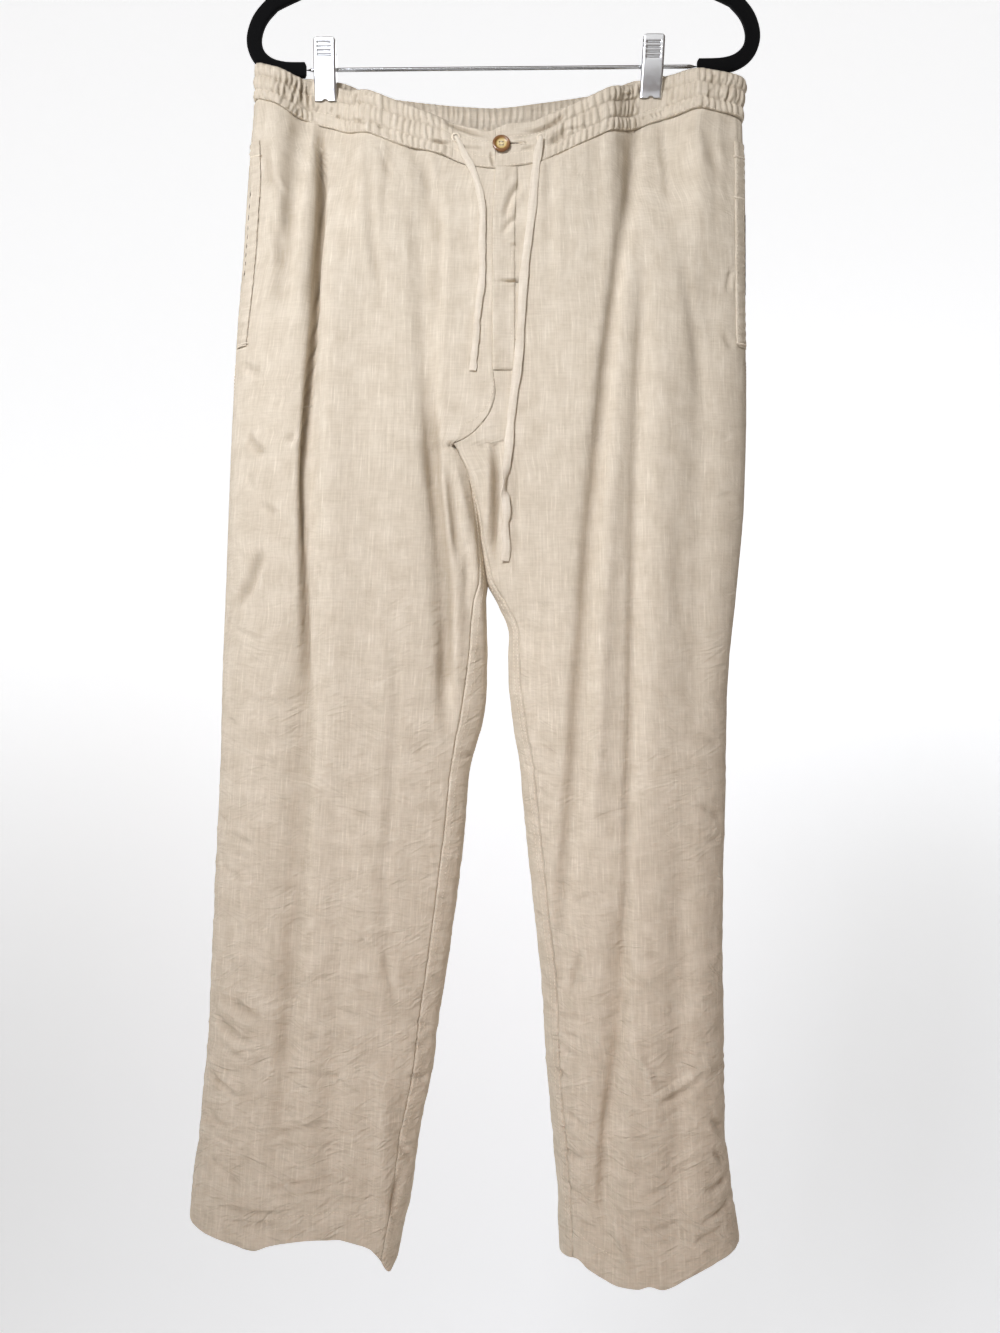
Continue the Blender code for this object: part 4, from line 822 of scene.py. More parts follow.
BAND_CREASES = [Crease(*row) for row in (
    (-193.3, 7.8, -198.4, 31.2, -1.3, 1.6, 1.3), (-188.5, 8.3, -190.6, 40.3, 1.3, 1.4, 1.2),
    (-181.8, 9.2, -189.2, 44, 1.3, 1.6, 1.3), (-178.7, 9, -186.8, 46.3, 1.7, 1.5, 1.2),
    (-175.3, 8.7, -181.1, 38.3, 0.8, 1.6, 1.3), (-172.4, 6.9, -174.7, 37.4, 0.4, 2.6, 1.8),
    (-168.4, 7.7, -170.9, 29.9, 0.4, 1.8, 1.3), (-164.6, 6.5, -168.5, 37.2, 1.7, 2, 1.5),
    (-187.8, 39.9, -191.2, 46.1, 0, 1, 1), (-183.3, 39.2, -186.4, 46.7, 0, 1, 1),
    (-178.9, 36.4, -182.3, 46.3, 0, 1, 1), (-175.5, 36.8, -177.2, 45.6, 0, 1.2, 1),
    (-158.7, 31.6, -161.7, 38.2, 0, 1.2, 1.1), (-152.2, 37.7, -151.7, 40.4, 0, 0.8, 1),
    (-147.5, 33.3, -149.2, 38.6, 0, 1, 1.1), (-142.7, 16.9, -144, 25.5, 0, 1.2, 1.2),
    (-136.8, 19.5, -136.8, 26.4, 0, 0.7, 1), (-131.4, 20.6, -132.7, 29.7, 0, 1.2, 1.1),
    (-124, 28.2, -126.6, 37.1, 0, 1.9, 1.4), (-114.9, 30.8, -116.2, 33.7, 0, 1.3, 1.1),
    (-110.8, 32.1, -112.2, 36.1, 0, 1.3, 1.1), (-144.8, 40.8, -140.4, 43.6, 0, 1.8, 1.6),
    (-129.9, 49.7, -112.7, 61.4, 0, 1.3, 1.3), (-106.7, 61.5, -100.8, 63.3, 0, 1.4, 1.2),
    (180.8, 11.8, 177.4, 22.1, 0, 1.6, 1.3), (187.9, 14.5, 185, 23.6, 0, 1.4, 1.2),
    (177.9, 24.2, 173.7, 37.9, 0, 1.6, 1.3), (175.7, 26.6, 172, 35.8, 0, 0.8, 1),
    (188.3, 30.7, 183.2, 34.2, 0, 1, 1.1), (184.5, 25.8, 183.2, 32.6, 0, 0.6, 1),
    (192.3, 25.8, 188.2, 38.6, 0, 1.2, 1.1), (194.5, 13.6, 189.3, 37.6, -0.8, 1, 1.1),
    (198.2, 11.7, 197.5, 21.9, 0, 0.8, 1), (196.2, 30.8, 193.3, 38.7, 0, 0.9, 1),
    (201.6, 30.5, 198.9, 38.8, 0, 0.8, 1), (172.4, 12.7, 169.9, 42.6, 0, 0.6, 1.2),
    (171.2, 35.8, 168.4, 46.7, 0, 1.3, 1.2), (143.8, 9.6, 143, 23.3, 0, 0.5, 1.4),
    (147.3, 25.4, 146.8, 29.5, 0, 1, 1.1), (140.5, 4.8, 139.7, 9.1, 0, 0.8, 1),
    (142.8, 29.8, 142.7, 37.2, 0, 0.8, 1), (146.8, 30.9, 146.7, 38.3, 0, 0.8, 1),
    (150.1, 32.1, 150, 39.6, 0, 0.7, 1), (154.4, 33.5, 154.3, 41, 0, 0.8, 1),
    (158.6, 35.3, 158.6, 42.4, 0, 0.7, 1), (162.9, 36.8, 162.8, 43.9, 0, 0.8, 1),
    (122.3, 41.3, 120.6, 44.8, 0, 1.2, 1.1), (127.5, 38.6, 130.1, 43.5, 0, 1.2, 1),
    (131.4, 38.2, 134.4, 42.6, 0, 1.2, 1), (135.3, 36, 137, 41.3, 0, 1.2, 1),
    (99.4, 30.1, 113.6, 21.1, 0, 1, 1.2), (104.9, 18.6, 105.2, 25.4, 0, 0.6, 1),
    (111.4, 14.3, 111.8, 23.7, 0, 1.2, 1.2), (114.5, 23.2, 115.4, 37.8, 0, 1, 1.2),
    (117.2, 14.3, 118, 22.9, 0, 1.5, 1.3), (-53.7, 52.9, -11.5, 70.3, 2.5, 2.2, 2.2),
    (57, 43.4, 10.5, 66, -7.6, 2.6, 2.6), (53.4, 63.3, 34.8, 77.7, -1.7, 2.4, 3.4),
    (47.5, 66, 72.9, 61.5, 0, 1.2, 1.3), (6.2, 72.3, 29, 68.7, 0, 1, 1.5),
    (13.8, 82.6, 27.2, 80, 0, 1.2, 1.4), (4.5, 77.3, 14.6, 76.4, 0, 1.3, 0.9),
    (-10.6, 84, -7.2, 99.1, 0.8, 1.8, 1.3), (-40.1, 67.8, -28.3, 71.4, 0, 0.9, 1.4),
    (-61.9, 73.7, -41.7, 77.7, 0.8, 1.7, 1.6), (-35, 80, -14.8, 82.2, 0, 0.9, 1.5),
)]


def carried_over(pleats, creases, old, new):
    """A leg's pleats and creases at the same share of another leg's width."""
    def moved(x, level):
        side, inner = follow(old.side, level), follow(old.inner, level)
        new_side, new_inner = follow(new.side, level), follow(new.inner, level)
        return float(new_side + (x - side) / (inner - side) * (new_inner - new_side))

    return ([Pleat(p.depth, p.width, [(level, moved(x, level)) for level, x in p.line]) for p in pleats],
            [Crease(moved(c.x_start, c.level_start), c.level_start, moved(c.x_end, c.level_end),
                    c.level_end, c.bow, c.depth, c.width) for c in creases])


# the right leg's marks are under True and the left leg's under False
FRONT_MARKS = {True: (RIGHT_PLEATS, RIGHT_CREASES), False: (LEFT_PLEATS, LEFT_CREASES)}
BACK_MARKS = {True: carried_over(LEFT_PLEATS, LEFT_CREASES, LEFT, RIGHT),
              False: carried_over(RIGHT_PLEATS, RIGHT_CREASES, RIGHT, LEFT)}


def dip(offset):
    """A crease's section: a trough with a low lip on each side."""
    return bell(offset, 1.0) - 0.28 * bell(np.abs(offset) - 1.9, 0.9)


def pleat_relief(pleats, x, level):
    """How far the pleats sink the cloth."""
    total = np.zeros(np.broadcast(x, level).shape)
    for pleat in pleats:
        top, bottom = pleat.line[0][0], pleat.line[-1][0]
        run = min(90.0, 0.35 * (bottom - top))
        start = (top - 20, top + 8) if top < 90 else (top, top + run)
        ends = fade(*start, level) * (1 - fade(bottom - run, bottom, level))
        offset = (x - follow(pleat.line, level)) / pleat.width
        total += pleat.depth * ends * dip(offset)
    return total


LOW_CREASES = 0.5       # the creases near the hems are deeper by this share


def crease_relief(creases, x, level):
    """How far the short creases sink the cloth."""
    total = np.zeros(np.broadcast(x, level).shape)
    for crease in creases:
        dx, dy = crease.x_end - crease.x_start, crease.level_end - crease.level_start
        length = math.hypot(dx, dy)
        along = ((x - crease.x_start) * dx + (level - crease.level_start) * dy) / length ** 2
        near = (along > -0.05) & (along < 1.05)
        aside = (-(x - crease.x_start) * dy + (level - crease.level_start) * dx) / length
        offset = (aside - crease.bow * 4 * along * (1 - along)) / crease.width
        ends = fade(0.0, 0.3, along) * (1 - fade(0.65, 1.0, along))
        set_in = 1.0 + LOW_CREASES * fade(540.0, 800.0, crease.level_start)
        total += np.where(near, crease.depth * set_in * ends * dip(offset / (1 + 0.4 * (set_in - 1))), 0.0)
    return total


print("pleats:", len(RIGHT_PLEATS) + len(LEFT_PLEATS), "creases:", len(RIGHT_CREASES) + len(LEFT_CREASES))


# %% [markdown]
# ## The rumpled surface
#
# Between the creases the cloth still isn't smooth. Seeded noise on a lattice that closes on itself
# round the leg gives it body: broad soft waves, the ends of the waistband's gathers below the seam,
# and sharp little crinkles that grow towards the hem. Seams draw the cloth in to a fine groove with
# a low felled ridge beside it.

# %% Rumpling
HEM_TURN = 22.0
CALM, WORN = 0.16, 0.64         # how crinkled the cloth is at the hips, and how much more at the hems
WORN_FROM, WORN_WHOLE = 420.0, 930.0
GATHERS_END = 210.0     # the gathers' soft folds die out this far below the waistband's seam
GROOVE, FELLED = 0.42, 0.25     # depth of a seam's groove, height of the ridge beside it
HEM_DRAW, WAIST_DRAW = 0.7, 0.9         # how far the hem's stitches and the waist's seam draw in
LAYERS_APART = 1.3      # no fold of the front or the back comes nearer the middle than this


def lattice(seed, cells, turn, along):
    """Smooth noise from -1 to 1, with a number of cells round the leg and along counting cells down."""
    rows = 420
    knots = np.random.default_rng(seed).uniform(-1.0, 1.0, (rows, cells))
    around = np.mod(turn / (2 * math.pi), 1.0) * cells
    along = along + 20.0
    column = np.floor(around).astype(int) % cells
    row = np.clip(np.floor(along).astype(int), 0, rows - 2)
    s = fade(0.0, 1.0, around - np.floor(around))
    t = fade(0.0, 1.0, along - row)
    beside = (column + 1) % cells
    return ((knots[row, column] * (1 - s) + knots[row, beside] * s) * (1 - t)
            + (knots[row + 1, column] * (1 - s) + knots[row + 1, beside] * s) * t)


def crinkle(seed, cells, turn, along):
    """Sharp low ridges: noise folded at its zero, on a lattice bent by slower noise."""
    bend = lattice(seed + 1, max(cells // 3, 4), turn, along / 3)
    sway = lattice(seed + 2, max(cells // 2, 4), turn, along / 2)
    raw = lattice(seed, cells, turn + 0.16 * bend, along + 0.9 * sway)
    return 1 - 2.2 * np.abs(raw)


def rumple(leg, turn, level, seam_level):
    """The cloth's own unevenness, out from the form: its broad waves, and all that is finer."""
    seed = 100 if leg is RIGHT else 200
    creasing = CALM + WORN * fade(WORN_FROM, WORN_WHOLE, level)
    waves = lattice(seed, 9, turn, level / 170) + 0.5 * lattice(seed + 5, 17, turn, level / 110)
    creased = 0.80 * crinkle(seed + 10, 13, turn, level / 15)
    creased = creased + 0.34 * crinkle(seed + 20, 30, turn, level / 8)
    fine = 0.16 * lattice(seed + 30, 60, turn, level / 5)
    below = level - seam_level
    gathers = 0.9 * lattice(seed + 40, 46, turn, level / 240)
    gathers = gathers + 0.6 * lattice(seed + 41, 84, turn, level / 160)
    sharp = 1.2 * crinkle(seed + 50, 52, turn, level / 260) * np.exp(-np.clip(below, 0.0, None) / 38.0)
    gathers = gathers * (1 - fade(0.0, GATHERS_END, below)) + sharp
    gathers = gathers * fade(-2.0, 6.0, below)
    return waves, creasing * (creased + fine) + gathers


def seam_relief(distance, ridge):
    """A seam's fine groove, and a felled ridge beside it."""
    groove = -GROOVE * bell(distance, 0.9)
    felled = FELLED * fade(0.6, 2.4, distance) * (1 - fade(6.0, 8.0, distance))
    return groove + (felled if ridge else 0.0)


def seam_level_at(leg, turn, on_back):
    """The level of the waistband's seam at a turn."""
    return follow(BACK_SEAM if on_back else FRONT_SEAM, between(leg, WAIST_LEVEL, turn))


def hem_level_at(leg, turn, on_back):
    """The level of the hem's edge at a turn."""
    return follow(leg.hem_back if on_back else leg.hem_front, between(leg, HEM_LEVEL, turn))


def hem_line(leg, across, on_back):
    """The level of a panel's hem at a share of the way across it."""
    first, last = turn_limits(leg, HEM_LEVEL, on_back)
    return hem_level_at(leg, first + (last - first) * across, on_back)


def cloth_point(leg, turn, level, on_back, lift=0.0):
    """A point of the finished cloth at a turn and level, moved out by lift: x, y, z, the direction out
    of the cloth, and how much painted shade it takes."""
    first, last = turn_limits(leg, level, on_back)
    x, y, out_x, out_y, pace, behind = form_point(leg, turn, level, on_back, first, last)
    inside = fade(0.0, 0.3, np.abs(np.sin(turn)))
    pleats, creases = FRONT_MARKS[leg is RIGHT]
    marks = pleat_relief(pleats, x, level) + crease_relief(creases, x, level)
    if on_back:
        pleats, creases = BACK_MARKS[leg is RIGHT]
        marks = np.where(behind, pleat_relief(pleats, x, level) + crease_relief(creases, x, level), marks)
    seam = seam_level_at(leg, turn, on_back)
    hem = hem_level_at(leg, turn, on_back)
    waves, fine = rumple(leg, turn, level, seam)
    # painted shade, deeper in the pleats and creases and in the troughs of the crinkles
    painted_shade = np.clip(0.10 * (marks * inside - fine), 0.0, 0.6)
    relief = waves + fine - marks * inside
    # a clip presses the cloth flat, and the centre seam and the fork are drawn tight, so all are calm
    relief = relief * (1 - 0.7 * clip_grip(x, level) * (1 - fade(48.0, 75.0, level)))
    above = 1 - fade(CROTCH_LEVEL - 34, CROTCH_LEVEL + 40, level)
    from_centre = np.abs(turn - math.pi) * pace
    at_fork = bell(level - CROTCH_LEVEL, 24.0) * fade(-0.5, 0.2, -np.cos(turn))
    relief = relief - (waves + fine) * np.maximum(above * (1 - fade(1.0, 12.0, from_centre)), at_fork)
    # the left front lies on the right one at the centre
    if leg is LEFT and not on_back:
        relief = relief + 0.5 * above * (1 - fade(2.0, 14.0, from_centre))
    # painted shade where the legs touch
    touching = fade(CROTCH_LEVEL - 3, CROTCH_LEVEL + 6, level) * (1 - fade(440.0, 470.0, level))
    painted_shade = np.maximum(painted_shade, touching * bell(from_centre, 2.6))
    # the seams at both sides, then the hem's stitched line and the waist's seam
    at_inner = 1.0 if on_back else 1 - above
    relief = relief + seam_relief((turn - first) * pace, on_back)
    relief = relief + at_inner * seam_relief((last - turn) * pace, False)
    relief = relief - HEM_DRAW * bell(hem - HEM_TURN - level, 1.0)
    relief = relief - WAIST_DRAW * (1 - fade(0.0, 2.5, level - seam))
    moved = y + out_y * (relief + lift)
    floor = np.minimum(np.abs(y), LAYERS_APART)
    in_front = np.where(np.abs(y) > 0.5, np.minimum(moved, -floor), moved)
    moved = np.where(behind, np.maximum(moved, floor), in_front)
    return x + out_x * (relief + lift), moved, height(level), out_x, out_y, painted_shade


# %% [markdown]
# ## Leg panels
#
# Two fronts and two backs are cut from the linen, sewn at the side, inseam and centre, and turned up
# at the hem. Each is one grid: its rows start 3 mm inside the waistband, run down the leg, turn round
# the hem's edge and climb 22 mm inside. A Solidify modifier gives the 0.5 mm of cloth.

# %% Leg panels
LINEN = 0.5
PANEL_COLUMNS = 98
PANEL_ROWS = 335
TURN_ROWS = 4           # rows round the hem's edge
HEM_ROWS = 8            # rows up its inside
TUCK = 3.0              # the panel reaches this far up into the waistband
HEM_GAP = 1.5           # between the outer and the turned-up layer
GRAIN_RIGHT, GRAIN_LEFT = (-118.0, -172.0), (98.0, 118.0)       # x of a straight yarn at its two ends


def leg_panel(name, nodes, leg, on_back):
    """One cut panel with its turned-up hem."""
    rows = PANEL_ROWS + TURN_ROWS + HEM_ROWS

    def place(column, row):
        across = column / PANEL_COLUMNS
        turn = math.pi * across + (math.pi if on_back else 0.0)
        seam = seam_level_at(leg, turn, on_back)
        hem = hem_line(leg, across, on_back)
        down = np.minimum(row / PANEL_ROWS, 1.0)
        round_hem = np.clip((row - PANEL_ROWS) / TURN_ROWS, 0.0, 1.0) * math.pi
        climbed = np.clip((row - PANEL_ROWS - TURN_ROWS) / HEM_ROWS, 0.0, 1.0) * HEM_TURN
        level = seam - TUCK + (hem - seam + TUCK) * down + HEM_GAP / 2 * np.sin(round_hem) - climbed
        lift = -HEM_GAP / 2 * (1 - np.cos(round_hem)) - 0.25 * (climbed > HEM_TURN - 1.5)
        first, last = turn_limits(leg, level, on_back)
        x, y, z, _, _, painted_shade = cloth_point(leg, first + (last - first) * across, level, on_back, lift)
        return x, y, z, painted_shade

    down, across = np.mgrid[0:rows + 1, 0:PANEL_COLUMNS + 1] / [[[rows]], [[PANEL_COLUMNS]]]
    # how creased the finish is: the bump of the fine creases and the light and shade painted on them grow
    # towards the hem and the seams
    creasing = 0.22 + 0.28 * fade(0.25, 0.60, down) + 0.45 * fade(0.60, 0.92, down)
    creasing = creasing + 0.2 * np.abs(2 * across - 1) ** 6
    grain = GRAIN_RIGHT if leg is RIGHT else GRAIN_LEFT
    mesh = grid_on_form(name, PANEL_COLUMNS, rows, place, flip=leg is RIGHT, creasing=creasing, grain=grain)
    made = thicken(put_in_scene(name, mesh, linen), LINEN)
    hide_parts(*nodes)
    area = sum(face.area for face in mesh.polygons)
    print(name, "is", round(area, 3), "square metres of linen")
    return made, area


panels = {}
for side_name, leg in (("right", RIGHT), ("left", LEFT)):
    for end_name, on_back in (("front", False), ("back", True)):
        panels[end_name, side_name] = leg_panel(
            f"linen_{end_name}_{side_name}", [f"{end_name}_{side_name}", f"hem_{end_name}_{side_name}"],
            leg, on_back)

# %% [markdown]
# ## Waistband
#
# The waistband is a folded band with elastic in it, stitched round twice, which makes three rows of
# gathers. Each row bunches in its own rhythm, puffed between the stitch lines and pinched at them.
# Between the two eyelets the front lies flat, with slack creases in place of gathers. The band's
# grid runs up its face, round its top edge and down inside.

# %% Waistband
BAND_THICKNESS = 1.8
BAND_WALL = 0.4
TIERS = (0.0, 0.30, 0.68, 1.0)      # shares of the height at the seam, the stitch lines and the top
GATHER_PITCH, GATHER_DEPTH = 5.6, 3.2
TAB_RIGHT_X, TAB_LEFT_X = -42.0, 35.0
STITCH_DRAW = 0.55      # how far the stitch lines and the seam draw the band in
BAND_STEP = 0.95        # from one column of the band's grid to the next
FACE_ROWS, EDGE_ROWS, INNER_ROWS = 42, 4, 10


def wander(seed, along, size):
    """Smooth seeded noise from -1 to 1 along a line, with knots every size millimetres."""
    knots = np.random.default_rng(seed).uniform(-1.0, 1.0, 400)
    at = along / size + 200.0
    index = np.clip(np.floor(at).astype(int), 0, 398)
    t = fade(0.0, 1.0, at - index)
    return knots[index] * (1 - t) + knots[index + 1] * t


def gather_relief(seed, along, rise):
    """Puffs of a gathered band. along is in millimetres round the waist, rise 0 to 1 up the band."""
    total = np.zeros(np.broadcast(along, rise).shape)
    for tier, (low, high) in enumerate(zip(TIERS, TIERS[1:])):
        number = seed + 10 * tier
        inside = np.clip((rise - low) / (high - low), 0.0, 1.0)
        place = along + 3.4 * wander(number, along, 27.0) + 1.4 * wander(number + 1, along, 8.0)
        lean = 2.4 * wander(number + 2, along, 19.0) * (inside - 0.5)
        count = (place + lean) / GATHER_PITCH
        strength = np.random.default_rng(number + 3).uniform(0.45, 1.0, 400)
        puff = np.abs(np.sin(math.pi * count)) ** 0.5 * strength[np.floor(count).astype(int) % 400]
        row = np.sin(math.pi * inside) ** 0.55
        here = (rise >= low) & ((rise < high) | (high == 1.0))
        total = np.where(here, puff * (0.22 + 0.78 * row), total)
    return total


def band_point(leg, turn, rise, on_back, lift=0.0):
    """A point of the waistband's face."""
    x_flat = between(leg, WAIST_LEVEL / 2, turn)
    seam = seam_level_at(leg, turn, on_back)
    top = follow(BACK_TOP if on_back else FRONT_TOP, x_flat)
    level = seam + (top - seam) * rise
    first, last = (math.pi, 2 * math.pi) if on_back else (0.0, math.pi)
    x, y, out_x, out_y, _, _ = form_point(leg, turn, level, on_back, first, last)
    along = np.interp(turn, *BAND_RUNS[leg is RIGHT, on_back])
    seed = (300 if leg is RIGHT else 400) + (50 if on_back else 0)
    beside = np.minimum(np.abs(x - CLIP_RIGHT_X), np.abs(x - CLIP_LEFT_X))
    loose = 0.2 + 0.8 * fade(8.0, 15.0, beside)
    puffs = GATHER_DEPTH * gather_relief(seed, along, rise)
    stitched = bell(rise - TIERS[1], 0.018) + bell(rise - TIERS[2], 0.018)
    out = (puffs - 0.55) * loose
    # painted shade in the valleys between the gathers
    painted_shade = 0.45 * np.clip(1 - puffs / (0.42 * GATHER_DEPTH), 0.0, 1.0) ** 1.5 * loose
    if not on_back:
        flat = fade(TAB_RIGHT_X - 12, TAB_RIGHT_X + 2, x) * (1 - fade(TAB_LEFT_X - 2, TAB_LEFT_X + 12, x))
        drawn = crease_relief(BAND_CREASES, x, level)
        out = out * (1 - 0.93 * flat) - drawn
        # painted shade in the flat front's creases
        painted_shade = painted_shade * (1 - flat) + 0.22 * np.clip(drawn, 0.0, 3.0)
        lean = CENTRE_LEAN * fade(0.68, 1.0, rise) * fade(-75, -38, x) * (1 - fade(30, 68, x))
        y = y + lean
    out = out + 0.35 - STITCH_DRAW * stitched * loose - STITCH_DRAW * (1 - fade(0.0, 0.025, rise)) + lift
    return x + out_x * out, y + out_y * out, height(level), out_x, out_y, painted_shade


BAND_RUNS = {}
for leg in (RIGHT, LEFT):
    for on_back, start, end in ((False, math.pi, 0.0), (True, math.pi, 2 * math.pi)):
        turns = np.linspace(start, end, 400)
        ring = section(leg, turns, np.full(400, WAIST_LEVEL / 2), on_back)
        run = np.concatenate([[0.0], np.cumsum(np.hypot(np.diff(ring[0]), np.diff(ring[1])))])
        order = np.argsort(turns)
        BAND_RUNS[leg is RIGHT, on_back] = (turns[order], run[order])
        print("waistband quarter:", round(run[-1]), "mm")


def band_rows():
    """rise and lift of each row: up the face, round the top edge and down the inside."""
    half = BAND_THICKNESS / 2
    face = [(rise, 0.0, 0.0) for rise in np.linspace(0.0, 1.0, FACE_ROWS + 1)]
    edge = [(1.0, -half * (1 - math.cos(angle)), half * math.sin(angle))
            for angle in np.linspace(0.0, math.pi, EDGE_ROWS + 1)[1:]]
    inner = [(rise, -BAND_THICKNESS, 0.0) for rise in np.linspace(1.0, 0.0, INNER_ROWS + 1)[1:]]
    return np.array(face + edge + inner)


def band_piece(name, node, spans, on_back):
    """A stretch of the waistband over one or two legs. spans lists (leg, first turn, last turn)."""
    turns, legs = [], []
    for leg, first, last in spans:
        known, run = BAND_RUNS[leg is RIGHT, on_back]
        ends = np.interp([first, last], known, run)
        count = int(abs(ends[1] - ends[0]) / BAND_STEP)
        order = np.argsort(run)
        places = np.interp(np.linspace(ends[0], ends[1], count + 1), run[order], known[order])
        places[0], places[-1] = first, last
        skip = 1 if turns else 0
        turns += list(places[skip:])
        legs += [leg is RIGHT] * (count + 1 - skip)
    turns, on_right = np.array(turns), np.array(legs)
    rows = band_rows()

    def place(column, row):
        rise, lift, up = (rows[row][..., k] for k in range(3))
        right_points = band_point(RIGHT, turns[column], rise, on_back, lift)
        left_points = band_point(LEFT, turns[column], rise, on_back, lift)
        x, y, z, _, _, painted_shade = (np.where(on_right[column], right, left)
                                 for right, left in zip(right_points, left_points))
        return x, y, z + up, painted_shade

    mesh = grid_on_form(name, len(turns) - 1, len(rows) - 1, place, flip=on_back or spans[0][0] is LEFT)
    made = thicken(put_in_scene(name, mesh, linen), BAND_WALL)
    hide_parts(node)
    area = sum(face.area for face in mesh.polygons)
    print(name, len(mesh.polygons), "faces,", round(area, 4), "square metres")
    return made, area


tab_right = float(turn_at(RIGHT, np.array(TAB_RIGHT_X), np.array(WAIST_LEVEL / 2)))
tab_left = float(turn_at(LEFT, np.array(TAB_LEFT_X), np.array(WAIST_LEVEL / 2)))
band = {
    "front_right": band_piece("band_front_right", "waistband_front_right", [(RIGHT, 0.0, tab_right)], False),
    "front_left": band_piece("band_front_left", "waistband_front_left", [(LEFT, 0.0, tab_left)], False),
    "tab_right": band_piece("band_flat_right", "waistband_tab_right", [(RIGHT, tab_right, math.pi)], False),
    "tab_left": band_piece("band_flat_left", "waistband_tab_left", [(LEFT, tab_left, math.pi)], False),
    "back": band_piece("band_back", "waistband_back",
                       [(RIGHT, 2 * math.pi, math.pi), (LEFT, math.pi, 2 * math.pi)], True),
}

# %% [markdown]
# ## Finding a place on the cloth
#
# Plackets, stitches and buttons are given by x and level, the way they are measured. These helpers
# find that place on the finished cloth or band, so a piece sits on its folds and not in them.

# %% Places on the cloth
CENTRE_X = -6.0         # of the line where the two fronts meet


def points_and_outs(found):
    """Points, and the directions out of the cloth there, from cloth_point's or band_point's answer."""
    x, y, z, out_x, out_y, _ = found
    return np.stack([x, y, z], axis=-1), np.stack([out_x, out_y, np.zeros_like(out_x)], axis=-1)


def between_places(places, count):
    """x and level of count points on the straight lines through (x, level) places."""
    at = np.linspace(0, len(places) - 1, count)
    return [np.interp(at, range(len(places)), values) for values in zip(*places)]


def on_front(leg, x, level, lift=0.0):
    """Points of the front of a leg, and the direction out of the cloth there."""
    x, level = np.broadcast_arrays(np.asarray(x, dtype=float), np.asarray(level, dtype=float))
    return points_and_outs(cloth_point(leg, turn_at(leg, x, level), level, False, lift))


def on_band(leg, turn, rise, on_back, lift=0.0):
    """Points of the waistband, and the direction out of it there."""
    return points_and_outs(band_point(leg, turn, rise, on_back, lift))


def front_band_line(places, lift, count=40):
    """A line over the front of the waistband through (x, level) places."""
    x, level = between_places(places, count)
    leg = RIGHT if x.mean() < CENTRE_X else LEFT
    turn = turn_at(leg, x, level)
    seam = seam_level_at(leg, turn, False)
    top = follow(FRONT_TOP, between(leg, WAIST_LEVEL / 2, turn))
    return on_band(leg, turn, (seam - level) / (seam - top), False, lift)


def seat(mesh, leg, x, level, off):
    """Lay a mesh made round the origin on the waistband, its +Z facing out of the cloth."""
    reach = np.array([-4.0, 0.0, 4.0])
    turn = turn_at(leg, np.full(3, x), level + reach)
    y = section(leg, turn, level + reach, False)[1]
    tilt = math.atan2(y[0] - y[2], reach[2] - reach[0])
    place = Matrix.Translation((x * MM, (y[1] - off * math.cos(tilt)) * MM,
                                (float(height(level)) + off * math.sin(tilt)) * MM))
    mesh.transform(place @ Matrix.Rotation(math.pi / 2 - tilt, 4, "X"))
    return mesh


# %% [markdown]
# ## Fly placket
#
# The left front laps over the right. Its lap is a strip of doubled cloth, free along the fold at the
# centre and stitched down along its other side. It lies over the creases of the front, so its grid
# follows the cloth and is lifted off it, with the edges rolled down.

# %% Fly placket
PLACKET_TOP, PLACKET_BOTTOM = 97.5, 271.0
PLACKET_WIDTH = 18.5
PLACKET_STITCH = 16.0       # from its free edge to the stitched line
PLACKET_COLUMNS, PLACKET_ROWS = 30, 140
STRIP_WALL = 0.45           # of the lap, and of the strips at the pockets


def rolled_edge(aside, radius):
    """The roundness of a folded edge: 0 at the fold, 1 from a radius in."""
    return np.sqrt(np.clip(1 - (1 - np.minimum(aside / radius, 1.0)) ** 2, 0.0, 1.0))


def placket_place(column, row):
    """A point of the lap, lifted off the left front."""
    level = PLACKET_TOP + (PLACKET_BOTTOM - PLACKET_TOP) * row / PLACKET_ROWS
    aside = PLACKET_WIDTH * (column / PLACKET_COLUMNS)
    rolled = rolled_edge(aside, 0.9)
    lift = 0.3 + 0.7 * rolled - 0.6 * fade(PLACKET_STITCH - 8.0, PLACKET_STITCH, aside)
    lift = lift - 0.35 * fade(PLACKET_STITCH + 0.8, PLACKET_WIDTH, aside)
    lift = lift + 0.25 * np.sin(level / 7.3) * np.sin(level / 17.0 + aside / 5.0) * rolled
    lift = lift - 0.9 * fade(PLACKET_BOTTOM - 2.0, PLACKET_BOTTOM, level)
    points, _ = on_front(LEFT, follow(LEFT.inner, level) - 0.6 + aside, level, lift)
    return points[..., 0], points[..., 1], points[..., 2]


lap_mesh = grid_on_form("fly_lap", PLACKET_COLUMNS, PLACKET_ROWS, placket_place)
placket = thicken(put_in_scene("fly_lap", lap_mesh, linen), STRIP_WALL)
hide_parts("fly_placket")
print("fly placket", PLACKET_BOTTOM - PLACKET_TOP, "mm long")

# %% [markdown]
# ## Pocket mouths
#
# Each side pocket opens along the side edge. Its mouth is faced with a stitched strip, drawn into
# small ladder-like puckers by the thread. The free edge stands a little off the body behind it,
# and a dark sheet of painted shade stands for the pocket's inside.

# %% Pocket mouths
POCKET_TOP, POCKET_BOTTOM = 69.0, 246.0
POCKET_WIDTH = 9.5
POCKET_STITCHES = (1.8, 7.8)        # from the mouth's edge to its two lines of stitches
SLIT_COLUMNS, SLIT_ROWS = 6, 60


